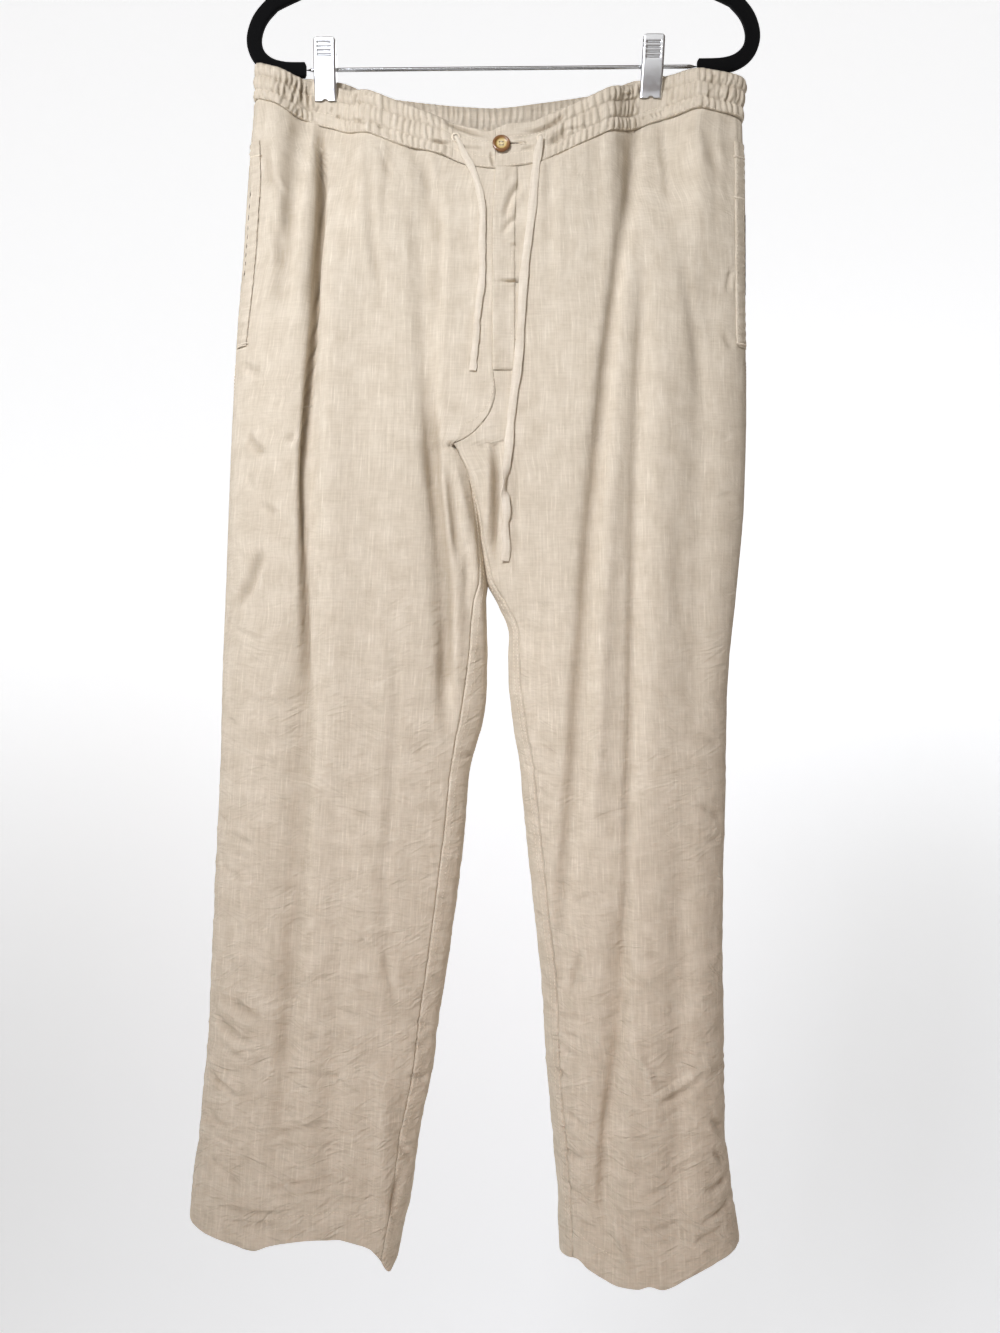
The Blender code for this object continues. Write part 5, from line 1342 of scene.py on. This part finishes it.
def pocket_strip(name, node, leg):
    """The faced and stitched edge of a pocket's mouth."""
    way = 1.0 if leg is RIGHT else -1.0
    columns, rows = 14, 200

    def place(column, row):
        level = POCKET_TOP + (POCKET_BOTTOM - POCKET_TOP) * row / rows
        aside = POCKET_WIDTH * column / columns
        rolled = rolled_edge(aside, 0.8)
        stitched = sum(bell(aside - at, 0.5) for at in POCKET_STITCHES)
        pucker = 0.35 * np.sin(level * 2 * math.pi / 8.5 + 1.5 * np.sin(level / 13.0)) * (1 - 0.7 * stitched)
        stand = 1.0 if leg is RIGHT else 0.55
        body = (0.95 * rolled + 1.3 * pucker * rolled - 0.35 * stitched) * stand
        lift = 0.6 + body - fade(8.4, POCKET_WIDTH, aside)
        x = follow(leg.side, level) + way * (follow(leg.pocket, level) + 0.6 + aside)
        points, _ = on_front(leg, x, level, lift)
        return points[..., 0], points[..., 1], points[..., 2]

    mesh = grid_on_form(name, columns, rows, place, flip=leg is RIGHT)
    made = thicken(put_in_scene(name, mesh, linen), STRIP_WALL)
    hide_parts(node)
    return made


def pocket_slit(name, leg, top, bottom):
    """A sheet of painted shade for the dark inside of a pocket, seen between the mouth and the side edge."""
    way = 1.0 if leg is RIGHT else -1.0

    def place(column, row):
        level = top + (bottom - top) * row / SLIT_ROWS
        open_by = follow(leg.pocket, level) * np.sin(math.pi * row / SLIT_ROWS) ** 0.5
        aside = 0.25 + follow(leg.pocket, level) - open_by * (1 - column / SLIT_COLUMNS) * 0.9
        x = follow(leg.side, level) + way * aside
        points, _ = on_front(leg, x, level, 1.1)
        return points[..., 0], points[..., 1], points[..., 2]

    mesh = grid_on_form(name, SLIT_COLUMNS, SLIT_ROWS, place, flip=leg is RIGHT)
    return put_in_scene(name, mesh, shade_cloth)


pockets = {"right": pocket_strip("pocket_mouth_right", "pocket_edge_right", RIGHT),
           "left": pocket_strip("pocket_mouth_left", "pocket_edge_left", LEFT)}
# painted shade: a dark linen colour, mottled a little, for the sheets laid where only shade is seen: the
# pockets' insides, the holes and the buttonhole's slit
shade_cloth, shade_tree, shade_shader = new_finish("linen_in_shade", 0.95, colour="#4a3d2f",
                                                   Specular_IOR_Level=0.1)
folds = streaks(shade_tree, add_node(shade_tree, "ShaderNodeTexCoord").outputs["Object"], 6.0, 6.0)
shade_tree.links.new(colour_mix(shade_tree, folds, "#2c241b", "#5d4e3d"), shade_shader.inputs["Base Color"])
pocket_slit("pocket_painted_shade_right", RIGHT, 108.0, 188.0)
pocket_slit("pocket_painted_shade_left", LEFT, 130.0, 200.0)
print("pocket mouths", POCKET_BOTTOM - POCKET_TOP, "mm long")

# %% [markdown]
# ## Stitching
#
# Seams are sewn with a thick thread at about 3 mm a stitch. One stitch is a tiny stretched bead half
# sunk in the cloth. The same bead is set along each line of stitching, turned the way that the line
# runs. Close rows of short stitches make the bar tacks that stop a pocket from tearing.

# %% Stitching
STITCH_PITCH = 3.0
STITCH = (1.15, 0.30, 0.26)         # half length, half width and half height of a stitch
TACK = (1.15, 0.36, 0.34)
ASIDE = 1.2                         # before and after a stitch, where the line's direction is read
TACK_LENGTH = 10.5
TACK_LEVELS = (82.0, 118.0, 243.0)  # of the bar tacks on a pocket's mouth
# at the inseam or not, how far beside it, and the levels of its two ends
SEWN_BESIDE = ((True, 1.6, 345, 985), (True, 6.0, 350, 985), (False, 1.6, 255, 975))

thread, thread_tree, thread_shader = new_finish("cotton_thread", 0.7, colour="#e6dac6", Sheen_Weight=0.2)
thread_tone = colour_mix(thread_tree, grains(thread_tree, 1500.0), "#d5c6ae", "#f0e6d4")
thread_tree.links.new(thread_tone, thread_shader.inputs["Base Color"])


def bead(bm, centre, along, out, size):
    """One stitch, sunk a little into the cloth."""
    side = np.cross(out, along)
    side /= np.linalg.norm(side)
    up = np.cross(along, side)
    axes = np.stack([along * size[0], side * size[1], up * size[2]], axis=1) * MM
    matrix = Matrix([[*axes[row], centre[row] * MM] for row in range(3)] + [[0.0, 0.0, 0.0, 1.0]])
    bmesh.ops.create_icosphere(bm, subdivisions=1, radius=1.0, matrix=matrix)


def sew(bm, points, out, pitch=STITCH_PITCH, size=STITCH, across=False):
    """Stitches along a line of points; across turns each one square to the line."""
    points = np.asarray(points)
    steps = np.linalg.norm(np.diff(points, axis=0), axis=1)
    run = np.concatenate([[0.0], np.cumsum(steps)])
    count = int(run[-1] / pitch)

    def read(rows, at):
        return np.array([np.interp(at, run, rows[:, k]) for k in range(3)])

    for at in (np.arange(count) + 0.5) * run[-1] / max(count, 1):
        facing = read(out, at)
        along = read(points, min(at + ASIDE, run[-1])) - read(points, max(at - ASIDE, 0.0))
        along /= np.linalg.norm(along)
        if across:
            along = np.cross(facing, along)
            along /= np.linalg.norm(along)
        bead(bm, read(points, at), along, facing, size)
    return count


def stitched_piece(name, lines):
    """One object for a set of stitched lines, each (points, out, options)."""
    bm = bmesh.new()
    count = sum(sew(bm, points, out, **options) for points, out, options in lines)
    mesh = mesh_from(name, bm)
    mesh.shade_smooth()
    print(name, count, "stitches")
    return put_in_scene(name, mesh, thread)


def panel_line(leg, on_back, across, level, lift=0.1):
    """A line over a panel, from across shares and levels."""
    first, last = turn_limits(leg, level, on_back)
    return points_and_outs(cloth_point(leg, first + (last - first) * across, level, on_back, lift))


def seam_line(leg, at_inseam, offset, top, bottom, lift=0.1):
    """A line down the back panel beside its side seam or its inseam."""
    level = np.linspace(top, bottom, 300)
    first, last = turn_limits(leg, level, True)
    turn = first if at_inseam else last
    pace = form_point(leg, turn, level, True, first, last)[4]
    turn = turn + (offset / pace if at_inseam else -offset / pace)
    return points_and_outs(cloth_point(leg, turn, level, True, lift))


def front_line(leg, places, lift=0.1, count=80):
    """A line over the front through (x, level) places."""
    return on_front(leg, *between_places(places, count), lift)


PLAIN = {}
TACKED = {"pitch": 0.75, "size": TACK, "across": True}
hem_lines, seam_lines, band_lines = [], [], []
for leg in (RIGHT, LEFT):
    for on_back in (False, True):
        across = np.linspace(0.01, 0.99, 160)
        turn = math.pi * across + (math.pi if on_back else 0.0)
        hem = hem_line(leg, across, on_back)
        hem_lines.append((*panel_line(leg, on_back, across, hem - HEM_TURN), PLAIN))
        for rise in (0.035, TIERS[1], TIERS[2]):
            band_lines.append((*on_band(leg, turn, np.full_like(turn, rise), on_back, 0.12), PLAIN))
    for at_inseam, offset, top, bottom in SEWN_BESIDE:
        seam_lines.append((*seam_line(leg, at_inseam, offset, top, bottom), PLAIN))
stitched_piece("hem_stitches", hem_lines)
stitched_piece("seam_stitches", seam_lines)
stitched_piece("band_stitches", band_lines)

lap = [(float(follow(LEFT.inner, level)) - 0.6, level) for level in np.linspace(100, 250, 12)]
front_lines = [
    (*front_line(LEFT, [(x + PLACKET_STITCH, level) for x, level in lap], 0.55), PLAIN),
    (*front_line(RIGHT, [(-8, 276), (-8.5, 288), (-14, 301), (-24, 312), (-36, 317.5)], 0.1, 60), PLAIN),
]
for leg, way in ((RIGHT, 1.0), (LEFT, -1.0)):
    for offset in POCKET_STITCHES:
        edge = [(float(follow(leg.side, level) + way * (follow(leg.pocket, level) + 0.6 + offset)), level)
                for level in np.linspace(POCKET_TOP + 2, POCKET_BOTTOM - 2, 20)]
        front_lines.append((*front_line(leg, edge, 0.95), PLAIN))
    for level in TACK_LEVELS:
        start = float(follow(leg.side, level) + way * (follow(leg.pocket, level) + 1.0))
        tack = [(start, level), (start + way * TACK_LENGTH, level + 1)]
        front_lines.append((*front_line(leg, tack, 1.1, 20), TACKED))
stitched_piece("front_stitches", front_lines)

# %% [markdown]
# ## Button
#
# The button is cut from a horn-like resin: a honey centre that darkens to a brown rim. It is turned
# from a profile, which the spin operator sweeps round, and drilled with four holes by a Boolean.
# Each vertex keeps its distance from the middle as an attribute, which the colour follows.

# %% Button
BUTTON_X, BUTTON_LEVEL = -1.8, 78.2
BUTTON_RADIUS = 7.6
BUTTON_PROFILE = [(0.0, 1.8), (3.2, 1.8), (4.4, 1.9), (5.0, 2.3), (5.5, 2.75), (6.1, 2.9), (6.8, 2.8),
                  (7.35, 2.4), (7.6, 1.8), (7.5, 1.0), (7.0, 0.3), (6.0, 0.0), (0.0, 0.0)]
HOLE_OFFSET, HOLE_RADIUS = 1.3, 0.75

horn, horn_tree, horn_shader = new_finish("horn_resin", 0.28, colour="#8a5a2b", Coat_Weight=0.5,
                                          Coat_Roughness=0.12)
from_middle = add_node(horn_tree, "ShaderNodeAttribute", attribute_name="from_middle").outputs["Fac"]
veined = math_node(horn_tree, "MULTIPLY_ADD", grains(horn_tree, 300.0, 3.0), 0.30, from_middle)
horn_ramp = add_node(horn_tree, "ShaderNodeValToRGB", {"Fac": veined})
horn_stops = horn_ramp.color_ramp.elements
horn_stops[0].position, horn_stops[0].color = 0.40, linear("#d6c493")
horn_stops[1].position, horn_stops[1].color = 1.0, linear("#7a4f26")
for place, code in ((0.66, "#c4a866"), (0.78, "#8a6233")):
    horn_stops.new(place).color = linear(code)
horn_tree.links.new(horn_ramp.outputs["Color"], horn_shader.inputs["Base Color"])


def turned(name, profile, steps):
    """A round piece: a profile of (radius, height) swept round the Z axis."""
    bm = bmesh.new()
    verts = [bm.verts.new((radius * MM, 0.0, high * MM)) for radius, high in profile]
    lines = [bm.edges.new(pair) for pair in zip(verts, verts[1:])]
    bmesh.ops.spin(bm, geom=verts + lines, cent=(0, 0, 0), axis=(0, 0, 1), angle=2 * math.pi,
                   steps=steps, use_merge=True)
    bmesh.ops.remove_doubles(bm, verts=bm.verts[:], dist=WELD)
    bmesh.ops.recalc_face_normals(bm, faces=bm.faces[:])
    mesh = mesh_from(name, bm)
    mesh.shade_smooth()
    return mesh


def drilled(mesh, places, radius):
    """Cut round holes through a mesh, along Z, with a Boolean that is applied."""
    bm = bmesh.new()
    for x, y in places:
        bmesh.ops.create_cone(bm, cap_ends=True, segments=20, radius1=radius * MM, radius2=radius * MM,
                              depth=0.02, matrix=Matrix.Translation((x * MM, y * MM, 0.0)))
    cutter = bpy.data.objects.new("drill", mesh_from("drill", bm))
    blank = bpy.data.objects.new("blank", mesh)
    for made in (cutter, blank):
        bpy.context.scene.collection.objects.link(made)
    cut = blank.modifiers.new("holes", "BOOLEAN")
    cut.object = cutter
    cut.operation = "DIFFERENCE"
    cut.solver = "EXACT"
    done = bpy.data.meshes.new_from_object(blank.evaluated_get(bpy.context.evaluated_depsgraph_get()))
    for made in (cutter, blank):
        bpy.data.objects.remove(made)
    return done


def dark_disc(name, radius, leg, x, level, off):
    """Painted shade for the dark inside of a hole: a small dark disc laid on the waistband."""
    bm = bmesh.new()
    bmesh.ops.create_circle(bm, cap_ends=True, segments=24, radius=radius * MM)
    return put_in_scene(name, seat(mesh_from(name, bm), leg, x, level, off), shade_cloth)


holes = [(a * HOLE_OFFSET, b * HOLE_OFFSET) for a in (-1, 1) for b in (-1, 1)]
button_mesh = drilled(turned("button_turned", BUTTON_PROFILE, 56), holes, HOLE_RADIUS)
reach = [math.hypot(vert.co.x, vert.co.y) / (BUTTON_RADIUS * MM) for vert in button_mesh.vertices]
button_mesh.attributes.new("from_middle", "FLOAT", "POINT").data.foreach_set("value", reach)
button_mesh.shade_smooth()
button_mesh.set_sharp_from_angle(angle=math.radians(50))
button = put_in_scene("horn_button", seat(button_mesh, LEFT, BUTTON_X, BUTTON_LEVEL, 0.3), horn)
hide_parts("button")

bm = bmesh.new()
for a in (-1, 1):
    for b in (-0.2, 0.2):
        bead(bm, np.array([0.0, a * HOLE_OFFSET + b, 1.95]), np.array([1.0, 0.0, 0.0]),
             np.array([0.0, 0.0, 1.0]), (1.35, 0.2, 0.3))
shank = mesh_from("button_thread", bm)
shank.shade_smooth()
put_in_scene("button_thread", seat(shank, LEFT, BUTTON_X, BUTTON_LEVEL, 0.3), thread)
# painted shade behind the button's holes
dark_disc("button_shade", 2.8, LEFT, BUTTON_X, BUTTON_LEVEL, 0.25)
print("button", len(button_mesh.polygons), "faces")

# %% [markdown]
# ## Eyelets and buttonhole
#
# The drawstring leaves the band through two worked eyelets, small rings of close thread round a
# hole, whose dark inside is a disc of painted shade. Beside the button, the end of its buttonhole
# shows as a slit between two rows of stitches, a dark strip of painted shade.

# %% Eyelets and buttonhole
EYELETS = {"right": (RIGHT, -40.1, 71.7), "left": (LEFT, 31.4, 72.2)}
EYELET_RADIUS, EYELET_RIM = 3.0, 0.75


def eyelet(side):
    """A ring of worked thread, with a disc of painted shade for the dark of the channel in it."""
    leg, x, level = EYELETS[side]
    around, over = 96, 10

    def place(column, row):
        angle = 2 * math.pi * (column % around) / around
        tube = 2 * math.pi * (row % over) / over
        thick = EYELET_RIM * (1 + 0.16 * np.sin(24 * angle) + 0.08 * np.sin(7 * angle))
        radius = EYELET_RADIUS + thick * np.cos(tube)
        return radius * np.cos(angle), 1.1 * radius * np.sin(angle), 0.8 * thick * np.sin(tube)

    ring = close_tube(grid_on_form(f"eyelet_ring_{side}", around, over, place), capped=False)
    made = put_in_scene(f"eyelet_ring_{side}", seat(ring, leg, x, level, 0.5), thread)
    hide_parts(f"eyelet_{side}")
    dark_disc(f"eyelet_hole_shade_{side}", 2.5, leg, x, level, 0.15)


for side in EYELETS:
    eyelet(side)

SLIT_ENDS = [(5.4, 77.1), (12.6, 76.7)]
SLIT_POINTS, SLIT_HALF = 13, 0.75
WORKED = {"pitch": 0.6, "size": (0.7, 0.28, 0.3), "across": True}
slit_line = front_band_line(SLIT_ENDS, 0.4, SLIT_POINTS)[0]


def slit_place(column, row):
    """A point of the slit, which is widest in its middle."""
    points = slit_line[column]
    half = SLIT_HALF * (row - 1) * np.sin(math.pi * (column + 0.5) / SLIT_POINTS) ** 0.6
    return points[..., 0], points[..., 1], points[..., 2] + half


# painted shade: the slit is a dark strip laid in the buttonhole's opening
slit_mesh = grid_on_form("buttonhole_slit_shade", SLIT_POINTS - 1, 2, slit_place, flip=True)
put_in_scene("buttonhole_slit_shade", slit_mesh, shade_cloth)
stitched_piece("buttonhole_stitches", [
    (*front_band_line([(6.0, 77.1 + shift), (19.5, 76.5 + shift)], 0.3), WORKED) for shift in (-0.95, 0.95)])

# %% [markdown]
# ## Hanger
#
# The hanger is a slim flocked frame with a plated bar that carries two sliding clips. The frame's
# section is a rounded rectangle swept along its bent line. Flocking is a coat of short fibres glued
# on, matt and almost black, which lightens a little where it is seen edge on.

# %% Hanger
BAR_RIGHT_END, BAR_LEFT_END = -171.0, 168.0
FRAME_HEIGHT, FRAME_THICKNESS = 13.0, 6.0
NECK_LEVEL = -143.0
HOOK_RADIUS, WIRE_RADIUS, BAR_RADIUS = 22.0, 1.9, 1.7
FRAME_HALF = [Edge(*row) for row in (
    (0, BAR_LEFT_END), (-0.6, 190), (-5, 204), (-14, 213), (-27, 216), (-42, 212), (-54, 203), (-61, 193),
    (-80, 150), (-101, 100), (-122, 50), (-134, 22), (-141, 8),
)]
FRAME_RUN = 900.0       # along the frame, near enough for the rounding of its ends


def tilt(x):
    """How far the hanger, which hangs a little askew, rises towards the left."""
    return 0.0095 * (x + 155.0)


flock, flock_tree, flock_shader = new_finish("black_flocking", 0.95, colour="#060607", Sheen_Weight=0.08,
                                             Sheen_Roughness=0.5, Specular_IOR_Level=0.1)
fibres = grains(flock_tree, 1800.0)
flock_tree.links.new(colour_mix(flock_tree, fibres, "#020202", "#0e0e0f"), flock_shader.inputs["Base Color"])
fuzz = add_node(flock_tree, "ShaderNodeBump", {"Height": fibres, "Strength": 0.5, "Distance": 0.3 * MM})
flock_tree.links.new(fuzz.outputs["Normal"], flock_shader.inputs["Normal"])

half_frame = [(edge.x, 0.0, float(height(edge.level))) for edge in FRAME_HALF]
mirrored = [(-x, y, z) for x, y, z in half_frame]
mirrored[0] = (BAR_RIGHT_END, 0.0, -BAR_DROP)
frame_line = smooth_route(mirrored + [(0.0, 0.0, float(height(NECK_LEVEL)))] + half_frame[::-1], 260)
frame_line[:, 2] += tilt(frame_line[:, 0])


def frame_outline(angle, share):
    """A rounded rectangle that closes softly at the two ends."""
    side = np.sign(np.cos(angle)) * np.abs(np.cos(angle)) ** 0.5 * FRAME_HEIGHT / 2
    out = np.sign(np.sin(angle)) * np.abs(np.sin(angle)) ** 0.5 * FRAME_THICKNESS / 2
    end = np.minimum(share, 1 - share) * FRAME_RUN
    closed = np.sqrt(np.clip(1 - (1 - np.minimum(end / 2.2, 1.0)) ** 2 * 0.55, 0.0, 1.0))
    return side * closed, out * closed


frame_mesh = swept("flocked_frame", frame_line, frame_outline, 28)
hanger_frame = put_in_scene("flocked_frame", frame_mesh, flock)
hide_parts("hanger_frame")
print("frame", round(line_length(frame_line)), "mm along its bends")

# %% [markdown]
# ## Plated steel
#
# The bar, hook and clips are steel with a bright nickel plating. It is smooth, so it mirrors its
# surroundings, with fine rubbing marks that spread the gloss.

# %% Plated steel
def plated(name, roughness, colour, scale, detail, smoothest, roughest):
    """A bright plating, whose roughness wanders between two values with a fine grain."""
    made, tree, shader = new_finish(name, roughness, metallic=1.0, colour=colour)
    gloss = add_node(tree, "ShaderNodeMapRange", {0: grains(tree, scale, detail), 3: smoothest, 4: roughest})
    tree.links.new(gloss.outputs[0], shader.inputs["Roughness"])
    return made


steel = plated("plated_steel", 0.3, "#e6e8ea", 240.0, 4.0, 0.26, 0.46)
wire = plated("plated_wire", 0.24, "#cfd1d3", 400.0, 2.0, 0.18, 0.32)


def round_wire(radius):
    """An outline for swept: a circle, drawn in at both ends of the line."""
    def outline(angle, share):
        from_end = np.minimum(np.minimum(share, 1 - share) * 60, 1.0)
        closed = np.sqrt(np.clip(1 - (1 - from_end) ** 2, 0.02, 1))
        return radius * closed * np.cos(angle), radius * closed * np.sin(angle)
    return outline


centre_radius = HOOK_RADIUS + WIRE_RADIUS
foot = float(height(NECK_LEVEL)) + FRAME_HEIGHT / 2 + 0.3
stem = [(0.0, 0.0, foot), (0.0, 0.0, foot + 16.5), (2.6, 0.0, foot + 26.5)]
arc = [(centre_radius * math.cos(math.radians(angle)), 0.0,
        -HOOK_RADIUS + centre_radius * math.sin(math.radians(angle))) for angle in range(-56, 206, 13)]
hook_mesh = swept("wire_hook", smooth_route(stem + arc, 150), round_wire(WIRE_RADIUS), 20)
hook = put_in_scene("wire_hook", hook_mesh, wire)
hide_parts("hanger_hook")
bar_x = np.linspace(BAR_RIGHT_END + 0.3, BAR_LEFT_END - 0.3, 60)
bar_line = np.stack([bar_x, np.zeros(60), tilt(bar_x) - BAR_DROP], axis=1)
bar = put_in_scene("bar_rod", swept("bar_rod", bar_line, round_wire(BAR_RADIUS), 20), wire)
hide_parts("hanger_bar")
print("bar", round(line_length(bar_line)), "mm long")

# %% [markdown]
# ## Clips
#
# A clip is two folded steel leaves on the bar with a spring between them. The finger end has a
# rounded edge and four pressed ribs, and the jaw ends in fine teeth with a notch. Each leaf is a
# grid bent through its two flanges, with the ribs pressed in and the ends trimmed by the grid itself.

# %% Clips
Leaf = namedtuple("Leaf", "level face flange")
CLIP_LEAF = [Leaf(*row) for row in (
    (-22, 10.8, 8.8), (-12, 10.6, 7.4), (-4, 10, 3), (0, 9.6, 2), (4, 9.1, 2.8), (11, 7.9, 2.8),
    (18, 6.2, 2.8), (24, 4.6, 2.8), (29.4, 3.8, 2.8),
)]
FINGER_END, JAW_END = CLIP_LEAF[0].level, CLIP_LEAF[-1].level
CLIP_WIDTH, CLIP_NESTING, CLIP_WALL = 17.5, 1.6, 0.7
CLIP_LEFT_LEAN = -2.4
NOTCH_DEPTH, NOTCH_HALF = 1.6, 2.4
TEETH_DEPTH, TEETH_PITCH = 0.45, 1.9
RIB_DEPTH, RIB_HALF = 0.9, 0.9
RIBS_RIGHT = (-17.7, -14.2, -10.8, -7.4)        # levels of the pressed ribs
RIBS_LEFT = (-15.4, -11.1, -7.2, -3.3)
CORNER = 1.0            # radius of the bend between face and flange
FINGER_CORNER = 2.6     # radius of the finger end's corners


def leaf_section(half, columns_flange=6, columns_corner=4, columns_face=24):
    """Sideways place and share of the flange's depth, from one rim to the other."""
    flange = [(-half, share, 0.0) for share in np.linspace(0, 1, columns_flange + 1)]
    corner = [(-half + CORNER * (1 - math.cos(a)), 1.0, CORNER * math.sin(a))
              for a in np.linspace(0, math.pi / 2, columns_corner + 1)[1:]]
    face = [(side, 1.0, CORNER) for side in np.linspace(-half + CORNER, 0, columns_face // 2 + 1)[1:]]
    left = flange + corner + face
    right = [(-side, share, rise) for side, share, rise in left[-2::-1]]
    return np.array(left + right)


def clip_leaf(name, node, x, lean, ribs, way):
    """One leaf: way is -1 in front and 1 behind."""
    half = CLIP_WIDTH / 2 - (0.0 if way < 0 else CLIP_NESTING)
    path = leaf_section(half)
    rows = 84

    def place(column, row):
        side, share, rise = (path[column][..., k] for k in range(3))
        rounding = np.clip((np.abs(side) - (half - FINGER_CORNER)) / FINGER_CORNER, 0.0, 1.0)
        top = FINGER_END + FINGER_CORNER * (1 - np.sqrt(1 - np.minimum(rounding, 0.999) ** 2))
        notch = NOTCH_DEPTH * np.sqrt(np.clip(1 - (side / NOTCH_HALF) ** 2, 0.0, 1.0))
        teeth = TEETH_DEPTH * np.abs(np.sin(math.pi * side / TEETH_PITCH))
        bottom = JAW_END - notch - teeth
        level = top + (bottom - top) * row / rows
        face = follow(CLIP_LEAF, level, 1) - CORNER
        rim = np.minimum(follow(CLIP_LEAF, level, 2), face)
        depth = rim + (face - rim) * share + rise
        pressed = sum(bell(level - rib, RIB_HALF) for rib in ribs)
        depth = depth - RIB_DEPTH * pressed * (1 - fade(5.8, 6.6, np.abs(side))) * (rise >= CORNER)
        shifted = x + lean * ((level - FINGER_END) / (JAW_END - FINGER_END) - 0.5) + side
        return shifted, way * depth, height(level) + tilt(x)

    mesh = grid_on_form(name, len(path) - 1, rows, place, flip=way > 0)
    made = thicken(put_in_scene(name, mesh, steel), CLIP_WALL)
    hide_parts(node)
    return made


for side, x, lean, ribs in (("right", CLIP_RIGHT_X, 0.0, RIBS_RIGHT),
                            ("left", CLIP_LEFT_X, CLIP_LEFT_LEAN, RIBS_LEFT)):
    clip_leaf(f"clip_leaf_{side}_front", f"clip_{side}_front", x, lean, ribs, -1)
    clip_leaf(f"clip_leaf_{side}_back", f"clip_{side}_back", x, lean, ribs, 1)
print("clips at", CLIP_RIGHT_X, "and", CLIP_LEFT_X)

# %% [markdown]
# ## Cloth facts
#
# Every hung or gathered sheet states the size that it was cut to. A leg panel's cut is measured on
# its own UV map. The waistband is cut much longer than it ends up, because its elastic gathers it,
# so its width is the length along the gathers.

# %% Cloth facts
def cut_size(made):
    """The width and length of a sheet's UV map, in metres."""
    uv = np.empty(len(made.data.loops) * 2, dtype=np.float32)
    made.data.uv_layers["cloth"].data.foreach_get("uv", uv)
    low, high = uv.reshape(-1, 2).min(axis=0), uv.reshape(-1, 2).max(axis=0)
    return float(high[0] - low[0]), float(high[1] - low[1])


for (end_name, side_name), (made, area) in panels.items():
    width, length = cut_size(made)
    print(made.name, "was cut from", round(width, 3), "by", round(length, 3), "m")
for where, (made, area) in band.items():
    length = cut_size(made)[1]
    print(made.name, "was cut from", round(area / length, 3), "by", round(length, 3), "m")

# %% [markdown]
# ## Stage and light
#
# A sheet of pale paper runs along the floor and bends up into the wall. The paper glows by its own
# emission, a painted light that is dim on the floor and bright up the wall. The key light is a soft
# box up on the left, whose narrow beam falls off towards the hems, where a dim warm light fills in.
# A weak even surround fills the shadows, a large dim panel high in front gives the plated clips
# something pale to mirror, and another light reaches the back.

# %% Stage and light
FLOOR_HEIGHT = -2.3
WALL_DEPTH = 2.6
BEND_RADIUS = 1.5
STAGE_SIZE = 14.0
STAGE_RUN, STAGE_NEAR = 10.0, 5.0       # along the floor and wall, and how much of it lies in front
SURROUND, SURROUND_STRENGTH = "#ffe6cf", 0.11

# painted light: the paper glows by its own emission, dimmer on the floor and brighter up the wall, though it
# is no lamp
paper, paper_tree, paper_shader = new_finish("matt_paper", 0.9, colour="#f0f1f3", Emission_Strength=0.74)
on_paper = add_node(paper_tree, "ShaderNodeTexCoord").outputs["Object"]
speck = add_node(paper_tree, "ShaderNodeTexNoise", {"Vector": on_paper, "Scale": 60.0})
up_paper = add_node(paper_tree, "ShaderNodeSeparateXYZ", {"Vector": on_paper}).outputs["Z"]
lit = add_node(paper_tree, "ShaderNodeMapRange", {0: up_paper, 1: FLOOR_HEIGHT, 2: -0.6, 3: 0.0, 4: 1.0})
glow = colour_mix(paper_tree, lit.outputs[0], "#bfc1c3", "#fbfdff")
paper_tree.links.new(glow, paper_shader.inputs["Emission Color"])
grain = add_node(paper_tree, "ShaderNodeBump", {"Height": speck.outputs["Fac"], "Strength": 0.05})
paper_tree.links.new(grain.outputs["Normal"], paper_shader.inputs["Normal"])

bm = bmesh.new()
bmesh.ops.create_grid(bm, x_segments=2, y_segments=40, size=0.5)
for vert in bm.verts:
    run = (vert.co.y + 0.5) * STAGE_RUN - STAGE_NEAR        # along the floor, round the bend, up the wall
    bend = min(max(run, 0.0) / BEND_RADIUS, math.pi / 2)
    vert.co = (vert.co.x * STAGE_SIZE,
               WALL_DEPTH - BEND_RADIUS + min(run, 0.0) + BEND_RADIUS * math.sin(bend),
               FLOOR_HEIGHT + BEND_RADIUS * (1 - math.cos(bend)) + max(run - BEND_RADIUS * math.pi / 2, 0.0))
bmesh.ops.recalc_face_normals(bm, faces=bm.faces[:])
sweep_mesh = mesh_from("backdrop", bm)
sweep_mesh.shade_smooth()
sweep_mesh.materials.append(paper)
backdrop = bpy.data.objects.new("backdrop", sweep_mesh)
bpy.context.scene.collection.objects.link(backdrop)


def soft_light(name, place, aim, size, power, colour="#ffffff", spread=180.0):
    """A square area light turned towards a point, whose beam can be narrowed."""
    data = bpy.data.lights.new(name, "AREA")
    data.size = size
    data.energy = power
    data.spread = math.radians(spread)
    data.color = linear(colour)[:3]
    made = bpy.data.objects.new(name, data)
    made.location = place
    made.rotation_euler = (Vector(aim) - Vector(place)).to_track_quat("-Z", "Y").to_euler()
    bpy.context.scene.collection.objects.link(made)
    return made


soft_light("key", (-0.80, -1.40, 0.20), (0.0, 0.0, -0.62), 0.5, 5.3, "#f3f6ff", 68.0)
soft_light("front_top", (0.0, -2.4, 1.2), (0.0, 0.0, -0.4), 1.7, 10.0)
soft_light("low_warm", (0.3, -2.2, -1.0), (0.0, 0.0, -1.15), 0.7, 0.22, "#ffa87a", 36.0)
soft_light("back_fill", (0.6, 1.6, 0.4), (0.0, 0.0, -0.7), 1.2, 8.0)

world = bpy.data.worlds.new("studio")
world.use_nodes = True
world.node_tree.nodes["Background"].inputs["Color"].default_value = linear(SURROUND)
world.node_tree.nodes["Background"].inputs["Strength"].default_value = SURROUND_STRENGTH
bpy.context.scene.world = world
bpy.context.scene.view_settings.view_transform = "Standard"
print("the paper's wall stands", WALL_DEPTH, "m behind the bar")
